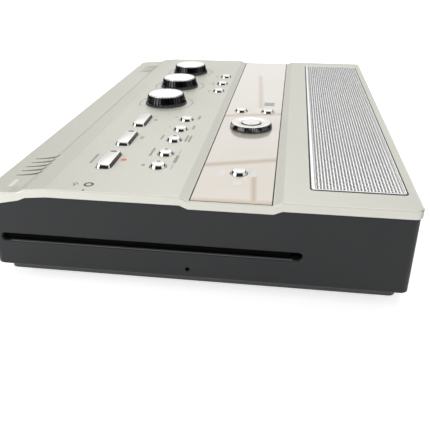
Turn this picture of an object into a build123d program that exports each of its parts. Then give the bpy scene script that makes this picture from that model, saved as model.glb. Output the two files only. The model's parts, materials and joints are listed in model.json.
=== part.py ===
"""A portable disc recorder: a low box with a silver control plate over a dark case.

+X is the user's right, where the disc goes in, +Y is the back and +Z is up.
The origin is the middle of the footprint, on the surface that the recorder stands on.
All sizes are in millimetres.
"""

import os

from build123d import *

os.makedirs("parts", exist_ok=True)

# The whole recorder
WIDTH = 343.0
DEPTH = 229.0
PLATE_TOP = 57.3
CORNER_R = 5.0
FOOT_HEIGHT = 3.6

# Clearances
RUNNING = 0.05
BUTTON_GAP = 0.3
PANEL_GAP = 0.4
SEAT_GAP = 0.3

# Silver control plate: its section runs front to back
PLATE_SKIN = 2.2
PLATE_SKIRT = 2.5
BAND = 4.6
FRONT_BAND = 7.6
LAND_DEPTH = 20.7
LAND_DROP_FRONT = 4.1
LAND_DROP_BACK = 2.9
STEP_RUN = 4.1
STEP_DROP = 1.1
RAMP_RUN = 11.7
TROUGH_DROP = 1.9
TROUGH_SLOPE = 4.4
ARRIS = 0.6

# Display strip, lying in the trough of the plate
STRIP_FRONT = -1.0
STRIP_WIDTH = 41.4
STRIP_MARGIN = 1.2
STRIP_END = 1.5
STRIP_THICK = 1.2
LCD_CENTRE_X = -80.0
LCD_SIZE = (76.0, 32.0, 6.0)
LCD_WINDOW = (66.0, 22.0)

# Dark case, bottom pan and feet
CASE_INSET = 1.0
CASE_WALL = 2.5
CASE_CORNER_R = 4.0
CASE_FLANGE = 8.0
FLANGE_THICK = 2.0
PAN_INSET = 6.0
PAN_REVEAL = 5.2
PAN_WALL = 3.0
PAN_FLOOR = 2.0
FOOT_RADIUS = 8.0
FOOT_INSET = 26.5

# Screws from below, into long bosses of the plate
BOSS_RADIUS = 3.5
SCREW_RADIUS = 1.5
SCREW_HEAD_RADIUS = 2.75
SCREW_HEAD_HEIGHT = 1.2
SCREW_BITE = 10.0
SCREW_CLEAR = 2.0
BOSS_INSET = 13.0

# Disc slot in the right-hand wall
SLOT_LENGTH = 165.4
SLOT_HEIGHT = 4.8
SLOT_MARGIN = 6.9
SLOT_CENTRE_Z = 26.4
SLOT_LIP = 0.5
PINHOLE_RADIUS = 1.3
PINHOLE_Y = -3.3
PINHOLE_Z = 13.9

# Speaker grille
GRILLE_SIDE_MARGIN = 18.5
GRILLE_BACK_MARGIN = 5.9
GRILLE_WIDTH = 48.4
GRILLE_RISE = 0.5
GRILLE_SHEET = 0.8
GRILLE_SEAT = 1.2
GRILLE_LEDGE = 3.0
GRILLE_CORNER_R = 2.0
GRILLE_ROWS = 14
GRILLE_COLUMNS = 12
GRILLE_BAR = 1.3
BAFFLE_THICK = 2.0
BAFFLE_MARGIN = 2.5

# Speakers
SPEAKER_X = 95.0
SPEAKER_RADIUS = 22.5
SPEAKER_DEPTH = 20.0
SPEAKER_FLANGE = 1.6
BASKET_WALL = 1.2
BAFFLE_LAP = 1.0
CONE_RADIUS = 19.0
DUST_CAP_RADIUS = 6.5
MAGNET_RADIUS = 15.0
MAGNET_HEIGHT = 8.0

# Push buttons
BUTTON_RADIUS = 4.9
BUTTON_HEIGHT = 2.2
BUTTON_CHAMFER = 0.5
BUTTON_FLANGE = 1.0
BUTTON_FLANGE_THICK = 1.0
BUTTON_TRAVEL = 0.8
OVERTRAVEL = 0.2
BUTTON_STEM_RADIUS = 1.8
RIGHT_ROW_Y = -26.4
RIGHT_ROW_INSETS = {
    "repeat_button": 39.5,
    "rewind_button": 59.8,
    "tempo_button": 85.0,
    "key_button": 107.0,
    "tuner_button": 129.5,
}
LEFT_ROW_Y = -14.3
LEFT_ROW = {"reverb_button": -42.0, "effects_button": -68.0, "metronome_button": -95.0}
PAIR_X = 8.0
PAIR_ROWS = {"menu_button": 9.8, "display_button": 30.1}
SOURCE_INSET = 40.0
SOURCE_Y = 20.2
BAR_INSETS = {"record_button": 44.6, "play_button": 83.0, "stop_button": 122.2}
BAR_BUTTON_Y = -57.0
BAR_BUTTON_LENGTH = 26.0
BAR_BUTTON_WIDTH = 9.0
BAR_BUTTON_CORNER = 2.8

# Knobs and their potentiometers
KNOBS = {"speaker_volume": 0.0, "line_level": -55.0, "mic_level": -110.0}
KNOB_Y = -50.6
KNOB_LIFT = 0.5
SKIRT_RADIUS = 16.2
SKIRT_TOP_RADIUS = 14.5
SKIRT_HEIGHT = 6.5
SKIRT_WALL = 2.0
KNOB_RIBS = 36
RIB_RADIUS = 0.55
CAP_RADIUS = 13.2
CAP_TOP_RADIUS = 12.2
CAP_HEIGHT = 1.4
KNOB_HUB_RADIUS = 5.5
SHAFT_RADIUS = 3.0
BUSHING_RADIUS = 4.5
POT_RADIUS = 8.5
POT_TOP = 53.4
POT_BASE = 0.7

# Value dial on the strip
DIAL_X = 47.0
DIAL_Y = 20.4
DIAL_RADIUS = 14.7
DIAL_HEIGHT = 4.0
DIAL_LIFT = 0.3
DIAL_EDGE = 0.7
DIAL_BORE = 6.7
DIAL_SLEEVE_RADIUS = 9.5
ENTER_RADIUS = 6.3
ENTER_HOLLOW = 0.5
ENCODER_RADIUS = 10.5
ENCODER_BORE = 5.0

# Boards, switches and lamp
BOARD_THICK = 1.6
CONTROL_BOARD_TOP = 45.6
BOARD_INSET = 5.5
BOARD_LEFT = -130.0
BOARD_FRONT = -68.0
BOARD_BACK = 44.0
SWITCH_SIZE = 6.0
SWITCH_TOP = 49.4
SWITCH_CAP = 1.0
SWITCH_CAP_SIZE = 3.4
HANGER_RADIUS = 2.5
LEFT_HANGERS = [(-124.0, -62.0), (-124.0, 38.0), (-20.0, -15.0), (30.0, 0.0)]
RIGHT_HANGER_INSETS = [(71.5, -40.0), (71.5, 38.0), (27.5, -62.0)]
LAMP_INSET = 9.3
LAMP_Y = -57.0
LAMP_RADIUS = 1.6
MAIN_BOARD_INSET = (19.5, 20.5)
MAIN_BOARD_RIGHT = -12.0
MAIN_BOARD_TOP = 15.6
COMPONENTS = [
    (-38.0, 40.0, 30.0, 30.0, 3.0),
    (12.0, -30.0, 24.0, 24.0, 2.5),
    (-28.0, -60.0, 36.0, 16.0, 12.0),
    (37.0, 60.0, 18.0, 30.0, 14.0),
    (42.0, 10.0, 16.0, 22.0, 8.0),
]
POST_RADIUS = 3.5

# Microphones behind their slots
MIC_INSET = 40.1
MIC_SLOTS = 5
MIC_PITCH = 6.4
MIC_SLOT_INSET = 9.1
MIC_SLOT_LENGTH = 13.1
MIC_BOW = 0.9
MIC_LEAN = 3.2
MIC_NARROW = 0.45
MIC_WIDE = 1.5
MIC_DEPTH = 16.5
MIC_RADIUS = 6.0
MIC_LENGTH = 8.0
MIC_TOP = 51.3

# Disc drive
BAY_WIDTH = 126.0
DRIVE_GAP = 2.0
DRIVE_LENGTH = 141.0
SHEET = 1.5
TRAY_TOP = 22.0
RAIL_WIDTH = 7.0
RAIL_HEIGHT = 9.0
TRAY_MARGIN = 2.0
SPINDLE_DEPTH = 68.0
MOTOR_RADIUS = 13.0
MOTOR_HEIGHT = 6.0
HUB_RADIUS = 12.0
HUB_CONE_RADIUS = 7.3
HUB_TOP = 23.9
HUB_DISC = 1.2
SPINDLE_RADIUS = 1.5
SPINDLE_HOLE = 2.0
MOTOR_BASE = 1.0
SLED_START = 14.0
SLED_SIZE = (46.0, 20.0, 5.0)
SLED_TOP = 19.8
SLED_TRAVEL = 32.0
SLED_GAP = 1.0
LENS_RADIUS = 4.0
LENS_HEIGHT = 1.8
LENS_GAP = 2.0
ROD_RADIUS = 1.5
ROD_SPACING = 36.0
ROLLER_DEPTH = 10.0
ROLLER_Z = 18.9
ROLLER_RADIUS = 4.0
ROLLER_LENGTH = 108.0
ROLLER_END = 8.0
ROLLER_GAP = 1.0
TAB_THICK = 4.0
TAB_WIDTH = 10.0
TAB_DROP = 5.5

# Sockets
JACK_RADIUS = 5.5
JACK_BORE = 3.2
JACK_DEPTH = 15.0
JACK_BODY = (14.0, 20.0, 14.0)
JACK_PROUD = 0.6
JACK_Z = 24.0
PHONES_X = (-120.0, -98.0)
MIC_JACK_X = (70.0, 92.0)
BAY_X = -30.0
SOCKET_BAY = (110.0, 9.0, 17.0)
BAY_SHEET = 1.5
LINE_X = (-48.0, -30.0, -12.0, 6.0)
LINE_RADIUS = 4.1
LINE_BORE = 1.6
LINE_LENGTH = 8.0
LINE_BODY = (12.0, 8.0, 12.0)
DC_X = -68.0
DC_RADIUS = 5.0
DC_BORE = 3.0
DC_PIN = 1.0
DC_DEPTH = 9.0
POWER_X = -110.0
POWER_SIZE = (14.0, 9.0)
POWER_PROUD = 0.7
POWER_TRAVEL = 0.6
POWER_LENGTH = 9.0
POWER_RIM = 2.0

# Places worked out from the sizes above
FRONT = -DEPTH / 2
BACK = DEPTH / 2
RIGHT = WIDTH / 2
CASE_BOTTOM = FOOT_HEIGHT + PAN_REVEAL
STRIP_BACK = STRIP_FRONT + STRIP_WIDTH
STRIP_Y = (STRIP_FRONT + STRIP_BACK) / 2
STRIP_LENGTH = WIDTH - 2 * STRIP_END
STRIP_TOP = PLATE_TOP - TROUGH_DROP
PLATE_UNDER = PLATE_TOP - PLATE_SKIN
STRIP_UNDER = STRIP_TOP - PLATE_SKIN
GRILLE_LENGTH = WIDTH - 2 * GRILLE_SIDE_MARGIN
GRILLE_Y = BACK - GRILLE_BACK_MARGIN - GRILLE_WIDTH / 2
SLOT_CENTRE_Y = FRONT + SLOT_MARGIN + SLOT_LENGTH / 2
CASE_X = WIDTH / 2 - CASE_INSET
CASE_Y = DEPTH / 2 - CASE_INSET
PAN_X = WIDTH / 2 - PAN_INSET
PAN_Y = DEPTH / 2 - PAN_INSET
PAN_FLOOR_TOP = FOOT_HEIGHT + PAN_FLOOR
KNOB_BOTTOM = PLATE_TOP + KNOB_LIFT
STEM_BOTTOM = SWITCH_TOP + BUTTON_TRAVEL + OVERTRAVEL
TRAY_UNDER = TRAY_TOP - SHEET
DRIVE_FRONT = CASE_X - CASE_WALL - DRIVE_GAP
SPINDLE_X = DRIVE_FRONT - SPINDLE_DEPTH
ROLLER_X = DRIVE_FRONT - ROLLER_DEPTH
BOSS_X = RIGHT - BOSS_INSET
BOSS_Y = BACK - BOSS_INSET
CORNER_BOSSES = [(x, y) for x in (-BOSS_X, BOSS_X) for y in (-BOSS_Y, BOSS_Y)]
MIDDLE_BOSS = (0, (STRIP_BACK + GRILLE_Y - GRILLE_WIDTH / 2) / 2)
FLANGE_BOSSES = [*CORNER_BOSSES, (0, -BOSS_Y)]
BOSS_CENTRES = [*FLANGE_BOSSES, MIDDLE_BOSS]
BOARD_UNDER = CONTROL_BOARD_TOP - BOARD_THICK
CONTROL_BOARD = (BOARD_LEFT, RIGHT - BOARD_INSET, BOARD_FRONT, BOARD_BACK)
MAIN_BOARD = (
    MAIN_BOARD_INSET[0] - RIGHT,
    MAIN_BOARD_RIGHT,
    MAIN_BOARD_INSET[1] + FRONT,
    BACK - MAIN_BOARD_INSET[1],
)
HANGERS = LEFT_HANGERS + [(RIGHT - inset, y) for inset, y in RIGHT_HANGER_INSETS]
LAMP_X = RIGHT - LAMP_INSET
MIC_X = RIGHT - MIC_INSET
MIC_Y = FRONT + MIC_DEPTH
MIC_FRONT = FRONT + MIC_SLOT_INSET
MIC_BACK = MIC_FRONT + MIC_SLOT_LENGTH
PANEL_BUTTONS = {name: (RIGHT - inset, RIGHT_ROW_Y) for name, inset in RIGHT_ROW_INSETS.items()}
PANEL_BUTTONS |= {name: (x, LEFT_ROW_Y) for name, x in LEFT_ROW.items()}
STRIP_BUTTONS = {name: (PAIR_X, y) for name, y in PAIR_ROWS.items()}
STRIP_BUTTONS["source_button"] = (RIGHT - SOURCE_INSET, SOURCE_Y)
BAR_BUTTONS = {name: RIGHT - inset for name, inset in BAR_INSETS.items()}

# Plate section, from front to back, as (y, height)
UPPER_OUTLINE = [
    (FRONT, PLATE_TOP - LAND_DROP_FRONT),
    (FRONT + LAND_DEPTH, PLATE_TOP - LAND_DROP_BACK),
    (FRONT + LAND_DEPTH + STEP_RUN, PLATE_TOP - STEP_DROP),
    (FRONT + LAND_DEPTH + STEP_RUN + RAMP_RUN, PLATE_TOP),
    (STRIP_FRONT - STRIP_MARGIN - TROUGH_SLOPE, PLATE_TOP),
    (STRIP_FRONT - STRIP_MARGIN, STRIP_TOP),
    (STRIP_BACK + STRIP_MARGIN, STRIP_TOP),
    (STRIP_BACK + STRIP_MARGIN + TROUGH_SLOPE, PLATE_TOP),
    (BACK, PLATE_TOP),
]
LOWER_OUTLINE = [(FRONT, UPPER_OUTLINE[0][1] - FRONT_BAND)] + [
    (y, z - BAND) for y, z in UPPER_OUTLINE[1:]
]


def save(part, label):
    """Name a finished piece and write it under that name."""
    part.label = label
    export_step(part, f"parts/{label}.step")


def section(points):
    """A closed face of straight edges, placed as given in the open sketch."""
    Polygon(*points, align=None)


def make_top_plate():
    """The silver control plate, with its pockets, holes and long screw bosses."""
    with BuildPart() as plate:
        with BuildSketch(Plane.YZ.offset(-WIDTH / 2)):
            section(UPPER_OUTLINE + LOWER_OUTLINE[::-1])
        extrude(amount=WIDTH)
        fillet(plate.edges().filter_by(Axis.Z), CORNER_R)
        upper = [f for f in plate.faces() if f.normal_at().Z > 0.5]
        rim = [e for e in plate.edges() if sum(e in f.edges() for f in upper) == 1]
        chamfer(rim, ARRIS)

        # Hollow underside: the same section, one skin lower
        inner_front = FRONT + PLATE_SKIRT
        inner_back = BACK - PLATE_SKIRT
        under = [(y, z - PLATE_SKIN) for y, z in UPPER_OUTLINE[1:-1]]
        front_height = UPPER_OUTLINE[0][1] - PLATE_SKIN
        back_height = UPPER_OUTLINE[-1][1] - PLATE_SKIN
        floor = LOWER_OUTLINE[0][1] - BAND
        hollow = [(inner_front, front_height), *under, (inner_back, back_height)]
        hollow += [(inner_back, floor), (inner_front, floor)]
        with BuildSketch(Plane.YZ.offset(PLATE_SKIRT - WIDTH / 2)):
            section(hollow)
        extrude(amount=WIDTH - 2 * PLATE_SKIRT, mode=Mode.SUBTRACT)

        # Long bosses for the case screws, and short ones for the control board
        with BuildSketch(Plane.XY.offset(PAN_FLOOR_TOP)):
            with Locations(*BOSS_CENTRES):
                Circle(BOSS_RADIUS)
        extrude(until=Until.NEXT)
        with BuildSketch(Plane.XY.offset(CONTROL_BOARD_TOP)):
            with Locations(*HANGERS):
                Circle(HANGER_RADIUS)
        extrude(until=Until.NEXT)
        with BuildSketch(Plane.XY.offset(PAN_FLOOR_TOP)):
            with Locations(*BOSS_CENTRES):
                Circle(SCREW_RADIUS + RUNNING)
        extrude(amount=SCREW_BITE + SCREW_CLEAR, mode=Mode.SUBTRACT)

        # Seat for the display strip, and the window for the display under it
        with BuildSketch(Plane.XY.offset(STRIP_TOP - STRIP_THICK)):
            with Locations((0, STRIP_Y)):
                Rectangle(STRIP_LENGTH + 2 * PANEL_GAP, STRIP_WIDTH + 2 * PANEL_GAP)
        extrude(amount=PLATE_TOP, mode=Mode.SUBTRACT)
        with BuildSketch(Plane.XY.offset(STRIP_UNDER - 1)):
            with Locations((LCD_CENTRE_X, STRIP_Y)):
                Rectangle(*LCD_WINDOW)
        extrude(amount=PLATE_SKIN + 1, mode=Mode.SUBTRACT)

        # Seat for the grille, and the sound opening inside it
        with BuildSketch(Plane.XY.offset(PLATE_TOP - GRILLE_SEAT)):
            with Locations((0, GRILLE_Y)):
                RectangleRounded(
                    GRILLE_LENGTH + 2 * PANEL_GAP,
                    GRILLE_WIDTH + 2 * PANEL_GAP,
                    GRILLE_CORNER_R + PANEL_GAP,
                )
        extrude(amount=PLATE_TOP, mode=Mode.SUBTRACT)
        with BuildSketch(Plane.XY.offset(PLATE_UNDER - 1)):
            with Locations((0, GRILLE_Y)):
                Rectangle(
                    GRILLE_LENGTH - 2 * GRILLE_LEDGE, GRILLE_WIDTH - 2 * GRILLE_LEDGE
                )
        extrude(amount=PLATE_SKIN + 1, mode=Mode.SUBTRACT)

        # Button, knob, dial and lamp holes
        with BuildSketch(Plane.XY.offset(STRIP_UNDER - 1)):
            with Locations(*PANEL_BUTTONS.values(), *STRIP_BUTTONS.values()):
                Circle(BUTTON_RADIUS + BUTTON_GAP)
            with Locations(*[(x, BAR_BUTTON_Y) for x in BAR_BUTTONS.values()]):
                RectangleRounded(
                    BAR_BUTTON_LENGTH + 2 * BUTTON_GAP,
                    BAR_BUTTON_WIDTH + 2 * BUTTON_GAP,
                    BAR_BUTTON_CORNER + BUTTON_GAP,
                )
            with Locations(*[(x, KNOB_Y) for x in KNOBS.values()]):
                Circle(BUSHING_RADIUS + BUTTON_GAP)
            with Locations((DIAL_X, DIAL_Y)):
                Circle(DIAL_SLEEVE_RADIUS + PANEL_GAP)
            with Locations((LAMP_X, LAMP_Y)):
                Circle(LAMP_RADIUS + RUNNING)
        extrude(amount=PLATE_TOP, mode=Mode.SUBTRACT)

        # Microphone slots: narrow in front, bowed, wide and round behind
        with BuildSketch(Plane.XY.offset(LOWER_OUTLINE[0][1])):
            for side in (-1, 1):
                for number in range(MIC_SLOTS):
                    back_x = MIC_X + (number - (MIC_SLOTS - 1) / 2) * MIC_PITCH
                    front_x = back_x + MIC_LEAN
                    middle = (front_x + back_x) / 2 + MIC_BOW
                    half = (MIC_NARROW + MIC_WIDE) / 2
                    half_way = (MIC_FRONT + MIC_BACK) / 2
                    with BuildLine():
                        tip = (side * (front_x - MIC_NARROW), MIC_FRONT)
                        other_tip = (side * (front_x + MIC_NARROW), MIC_FRONT)
                        heel = (side * (back_x - MIC_WIDE), MIC_BACK)
                        other_heel = (side * (back_x + MIC_WIDE), MIC_BACK)
                        ThreePointArc(tip, (side * (middle - half), half_way), heel)
                        ThreePointArc(heel, (side * back_x, MIC_BACK + MIC_WIDE), other_heel)
                        ThreePointArc(other_heel, (side * (middle + half), half_way), other_tip)
                        Line(other_tip, tip)
                    make_face()
        extrude(amount=PLATE_TOP, mode=Mode.SUBTRACT)
    save(plate.part, "top_plate")


def make_side_case():
    """The dark case wall, with the disc slot, the pinhole and the socket holes."""
    with BuildPart() as case:
        with BuildSketch(Plane.XY.offset(CASE_BOTTOM)):
            RectangleRounded(2 * CASE_X, 2 * CASE_Y, CASE_CORNER_R)
        extrude(amount=PLATE_TOP - CASE_BOTTOM)
        with BuildSketch(Plane.XY.offset(CASE_BOTTOM)):
            Rectangle(
                2 * (CASE_X - CASE_WALL - CASE_FLANGE),
                2 * (CASE_Y - CASE_WALL - CASE_FLANGE),
            )
        extrude(amount=PLATE_TOP, mode=Mode.SUBTRACT)
        with BuildSketch(Plane.XY.offset(CASE_BOTTOM + FLANGE_THICK)):
            RectangleRounded(
                2 * (CASE_X - CASE_WALL),
                2 * (CASE_Y - CASE_WALL),
                CASE_CORNER_R - CASE_WALL,
            )
        extrude(amount=PLATE_TOP, mode=Mode.SUBTRACT)

        # Everything above the plate's lower edge is cut away
        above = LOWER_OUTLINE + [(BACK, PLATE_TOP + 1), (FRONT, PLATE_TOP + 1)]
        with BuildSketch(Plane.YZ.offset(-WIDTH / 2)):
            section(above)
        extrude(amount=WIDTH, mode=Mode.SUBTRACT)
        bottom = case.faces().sort_by(Axis.Z)[0]
        chamfer(bottom.outer_wire().edges(), ARRIS)

        # Flange holes for the plate's bosses
        with BuildSketch(Plane.XY.offset(CASE_BOTTOM)):
            with Locations(*FLANGE_BOSSES):
                Circle(BOSS_RADIUS + SEAT_GAP)
        extrude(amount=FLANGE_THICK, mode=Mode.SUBTRACT)

        # Disc slot with an eased lip, and the pinhole of the emergency release
        slot_plane = Plane.YZ.offset(CASE_X - CASE_WALL)
        with BuildSketch(slot_plane):
            with Locations((SLOT_CENTRE_Y, SLOT_CENTRE_Z)):
                SlotOverall(SLOT_LENGTH, SLOT_HEIGHT)
            with Locations((PINHOLE_Y, PINHOLE_Z)):
                Circle(PINHOLE_RADIUS)
        extrude(amount=CASE_WALL, mode=Mode.SUBTRACT)
        mouth = case.edges().filter_by_position(Axis.X, CASE_X - 0.01, CASE_X + 0.01)
        lip = [e for e in mouth if abs(e.center().Z - SLOT_CENTRE_Z) < SLOT_HEIGHT]
        chamfer(lip, SLOT_LIP)

        # Front wall: phones sockets. Back wall: microphone sockets, bay and power
        with BuildSketch(Plane.XZ.offset(CASE_Y - CASE_WALL)):
            with Locations(*[(x, JACK_Z) for x in PHONES_X]):
                Circle(JACK_RADIUS + BUTTON_GAP)
        extrude(amount=CASE_WALL, mode=Mode.SUBTRACT)
        with BuildSketch(Plane.XZ.offset(-CASE_Y)):
            with Locations(*[(x, JACK_Z) for x in MIC_JACK_X]):
                Circle(JACK_RADIUS + BUTTON_GAP)
            with Locations((BAY_X, JACK_Z)):
                Rectangle(SOCKET_BAY[0], SOCKET_BAY[2])
            with Locations((POWER_X, JACK_Z)):
                Rectangle(POWER_SIZE[0] + 2 * BUTTON_GAP, POWER_SIZE[1] + 2 * BUTTON_GAP)
        extrude(amount=CASE_WALL, mode=Mode.SUBTRACT)
    save(case.part, "side_case")


def make_bottom_pan():
    """The shallow pan under the case, with the posts that carry drive and board."""
    with BuildPart() as pan:
        with BuildSketch(Plane.XY.offset(FOOT_HEIGHT)):
            RectangleRounded(2 * PAN_X, 2 * PAN_Y, CASE_CORNER_R)
        extrude(amount=PAN_REVEAL)
        with BuildSketch(Plane.XY.offset(PAN_FLOOR_TOP)):
            Rectangle(2 * (PAN_X - PAN_WALL), 2 * (PAN_Y - PAN_WALL))
        extrude(amount=PAN_REVEAL, mode=Mode.SUBTRACT)
        with BuildSketch(Plane.XY.offset(PAN_FLOOR_TOP)):
            with Locations(*drive_post_centres()):
                Circle(POST_RADIUS)
        extrude(amount=TRAY_UNDER - PAN_FLOOR_TOP)
        with BuildSketch(Plane.XY.offset(PAN_FLOOR_TOP)):
            with Locations(*board_post_centres()):
                Circle(POST_RADIUS)
        extrude(amount=MAIN_BOARD_TOP - BOARD_THICK - PAN_FLOOR_TOP)
        with Locations(*[Location((x, y, FOOT_HEIGHT), (180, 0, 0)) for x, y in BOSS_CENTRES]):
            CounterBoreHole(
                SCREW_RADIUS + SEAT_GAP,
                SCREW_HEAD_RADIUS + SEAT_GAP,
                SCREW_HEAD_HEIGHT,
                PAN_FLOOR,
            )
    save(pan.part, "bottom_pan")


def drive_post_centres():
    """Where the drive's four posts stand, near the corners of its tray."""
    half = BAY_WIDTH / 2 + RAIL_WIDTH / 2
    xs = (DRIVE_FRONT - DRIVE_LENGTH + 2 * POST_RADIUS, ROLLER_X - 3 * POST_RADIUS)
    return [(x, SLOT_CENTRE_Y + side * half) for x in xs for side in (-1, 1)]


def board_post_centres():
    """Where the main board's four posts stand."""
    left, right, front, back = MAIN_BOARD
    inset = 2 * POST_RADIUS
    return [(x, y) for x in (left + inset, right - inset) for y in (front + inset, back - inset)]


def make_feet():
    """Four rubber feet under the pan."""
    with BuildPart() as feet:
        with BuildSketch():
            with GridLocations(WIDTH - 2 * FOOT_INSET, DEPTH - 2 * FOOT_INSET, 2, 2):
                Circle(FOOT_RADIUS)
        extrude(amount=FOOT_HEIGHT)
        chamfer(feet.faces().filter_by(Axis.Z).group_by(Axis.Z)[0].edges(), ARRIS)
    save(feet.part, "rubber_feet")


def make_case_screws():
    """Six screws that hold the pan, case and plate together."""
    with BuildPart() as screws:
        with BuildSketch(Plane.XY.offset(FOOT_HEIGHT)):
            with Locations(*BOSS_CENTRES):
                Circle(SCREW_HEAD_RADIUS)
        extrude(amount=SCREW_HEAD_HEIGHT)
        with BuildSketch(Plane.XY.offset(FOOT_HEIGHT + SCREW_HEAD_HEIGHT)):
            with Locations(*BOSS_CENTRES):
                Circle(SCREW_RADIUS)
        extrude(amount=PAN_FLOOR - SCREW_HEAD_HEIGHT + SCREW_BITE)
    save(screws.part, "case_screws")


def make_display_strip():
    """The mirror-finished window that runs the whole width of the trough."""
    with BuildPart() as strip:
        with BuildSketch(Plane.XY.offset(STRIP_TOP - STRIP_THICK)):
            with Locations((0, STRIP_Y)):
                RectangleRounded(STRIP_LENGTH, STRIP_WIDTH, 0.5)
            with Locations(*STRIP_BUTTONS.values()):
                Circle(BUTTON_RADIUS + BUTTON_GAP, mode=Mode.SUBTRACT)
            with Locations((DIAL_X, DIAL_Y)):
                Circle(DIAL_SLEEVE_RADIUS + PANEL_GAP, mode=Mode.SUBTRACT)
        extrude(amount=STRIP_THICK)
    save(strip.part, "display_strip")


def make_display_module():
    """The liquid-crystal display, under its window in the plate."""
    length, width, height = LCD_SIZE
    with BuildPart() as lcd:
        with BuildSketch(Plane.XY.offset(STRIP_UNDER - height)):
            with Locations((LCD_CENTRE_X, STRIP_Y)):
                Rectangle(length, width)
        extrude(amount=height)
        with BuildSketch(Plane.XY.offset(STRIP_UNDER - BOARD_THICK)):
            with Locations((LCD_CENTRE_X, STRIP_Y)):
                Rectangle(*LCD_WINDOW)
        extrude(amount=BOARD_THICK, mode=Mode.SUBTRACT)
    save(lcd.part, "display_module")


def make_speaker_grille():
    """The perforated sheet over the speakers, with its edges folded down."""
    top = PLATE_TOP + GRILLE_RISE
    seat = PLATE_TOP - GRILLE_SEAT
    with BuildPart() as grille:
        with BuildSketch(Plane.XY.offset(seat)):
            with Locations((0, GRILLE_Y)):
                RectangleRounded(GRILLE_LENGTH, GRILLE_WIDTH, GRILLE_CORNER_R)
        extrude(amount=top - seat)
        fillet(grille.faces().sort_by(Axis.Z)[-1].edges(), GRILLE_SHEET)
        with BuildSketch(Plane.XY.offset(seat)):
            with Locations((0, GRILLE_Y)):
                RectangleRounded(
                    GRILLE_LENGTH - 2 * GRILLE_SHEET,
                    GRILLE_WIDTH - 2 * GRILLE_SHEET,
                    GRILLE_CORNER_R - GRILLE_SHEET,
                )
        extrude(amount=top - seat - GRILLE_SHEET, mode=Mode.SUBTRACT)
        row_pitch = (GRILLE_WIDTH - 2 * GRILLE_LEDGE) / GRILLE_ROWS
        column_pitch = (GRILLE_LENGTH - 2 * GRILLE_LEDGE) / GRILLE_COLUMNS
        with BuildSketch(Plane.XY.offset(seat)):
            with Locations((0, GRILLE_Y)):
                with GridLocations(column_pitch, row_pitch, GRILLE_COLUMNS, GRILLE_ROWS):
                    Rectangle(column_pitch - GRILLE_BAR, row_pitch - GRILLE_BAR)
        extrude(amount=top - seat, mode=Mode.SUBTRACT)
    save(grille.part, "speaker_grille")


def make_speaker_baffle():
    """The board under the grille that the two speakers are screwed to."""
    with BuildPart() as baffle:
        with BuildSketch(Plane.XY.offset(PLATE_UNDER - BAFFLE_THICK)):
            with Locations((0, GRILLE_Y)):
                Rectangle(GRILLE_LENGTH + 2 * BAFFLE_MARGIN, GRILLE_WIDTH + BAFFLE_MARGIN)
                with Locations((-SPEAKER_X, 0), (SPEAKER_X, 0)):
                    Circle(CONE_RADIUS + BAFFLE_LAP, mode=Mode.SUBTRACT)
        extrude(amount=BAFFLE_THICK)
    save(baffle.part, "speaker_baffle")


def make_speakers():
    """Two speakers: steel baskets with their magnets, and the paper cones in them."""
    rim = PLATE_UNDER - BAFFLE_THICK
    bottom = rim - SPEAKER_DEPTH
    magnet_top = bottom + MAGNET_HEIGHT
    wall = BASKET_WALL
    basket_section = [
        (0, bottom),
        (MAGNET_RADIUS, bottom),
        (MAGNET_RADIUS, magnet_top),
        (SPEAKER_RADIUS - wall, rim - SPEAKER_FLANGE),
        (SPEAKER_RADIUS, rim - SPEAKER_FLANGE),
        (SPEAKER_RADIUS, rim),
        (CONE_RADIUS, rim),
        (CONE_RADIUS, rim - SPEAKER_FLANGE),
        (MAGNET_RADIUS - wall, magnet_top + wall),
        (0, magnet_top + wall),
    ]
    cone_section = [
        (0, magnet_top + wall),
        (DUST_CAP_RADIUS, magnet_top + wall),
        (CONE_RADIUS - SEAT_GAP, rim - SPEAKER_FLANGE),
        (CONE_RADIUS - SEAT_GAP, rim - SEAT_GAP),
        (DUST_CAP_RADIUS, magnet_top + 2 * wall),
        (0, magnet_top + 4 * wall),
    ]
    for label, points in (("speaker_baskets", basket_section), ("speaker_cones", cone_section)):
        with BuildPart() as pair:
            for x in (-SPEAKER_X, SPEAKER_X):
                with BuildSketch(Plane(origin=(x, GRILLE_Y, 0), x_dir=(1, 0, 0), z_dir=(0, -1, 0))):
                    section(points)
                revolve(axis=Axis((x, GRILLE_Y, 0), (0, 0, 1)))
        save(pair.part, label)


def make_round_button(name, x, y, panel_top):
    """A round push button, held from below by a flange under the panel."""
    under = panel_top - PLATE_SKIN
    flange_top = under - SEAT_GAP
    flange_bottom = flange_top - BUTTON_FLANGE_THICK
    with BuildPart() as button:
        with BuildSketch(Plane.XY.offset(flange_bottom)):
            with Locations((x, y)):
                Circle(BUTTON_RADIUS)
        extrude(amount=panel_top + BUTTON_HEIGHT - flange_bottom)
        chamfer(button.faces().sort_by(Axis.Z)[-1].edges(), BUTTON_CHAMFER)
        with BuildSketch(Plane.XY.offset(flange_bottom)):
            with Locations((x, y)):
                Circle(BUTTON_RADIUS + BUTTON_FLANGE)
        extrude(amount=flange_top - flange_bottom)
        with BuildSketch(Plane.XY.offset(STEM_BOTTOM)):
            with Locations((x, y)):
                Circle(BUTTON_STEM_RADIUS)
        extrude(amount=flange_bottom - STEM_BOTTOM)
    save(button.part, name)


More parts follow.
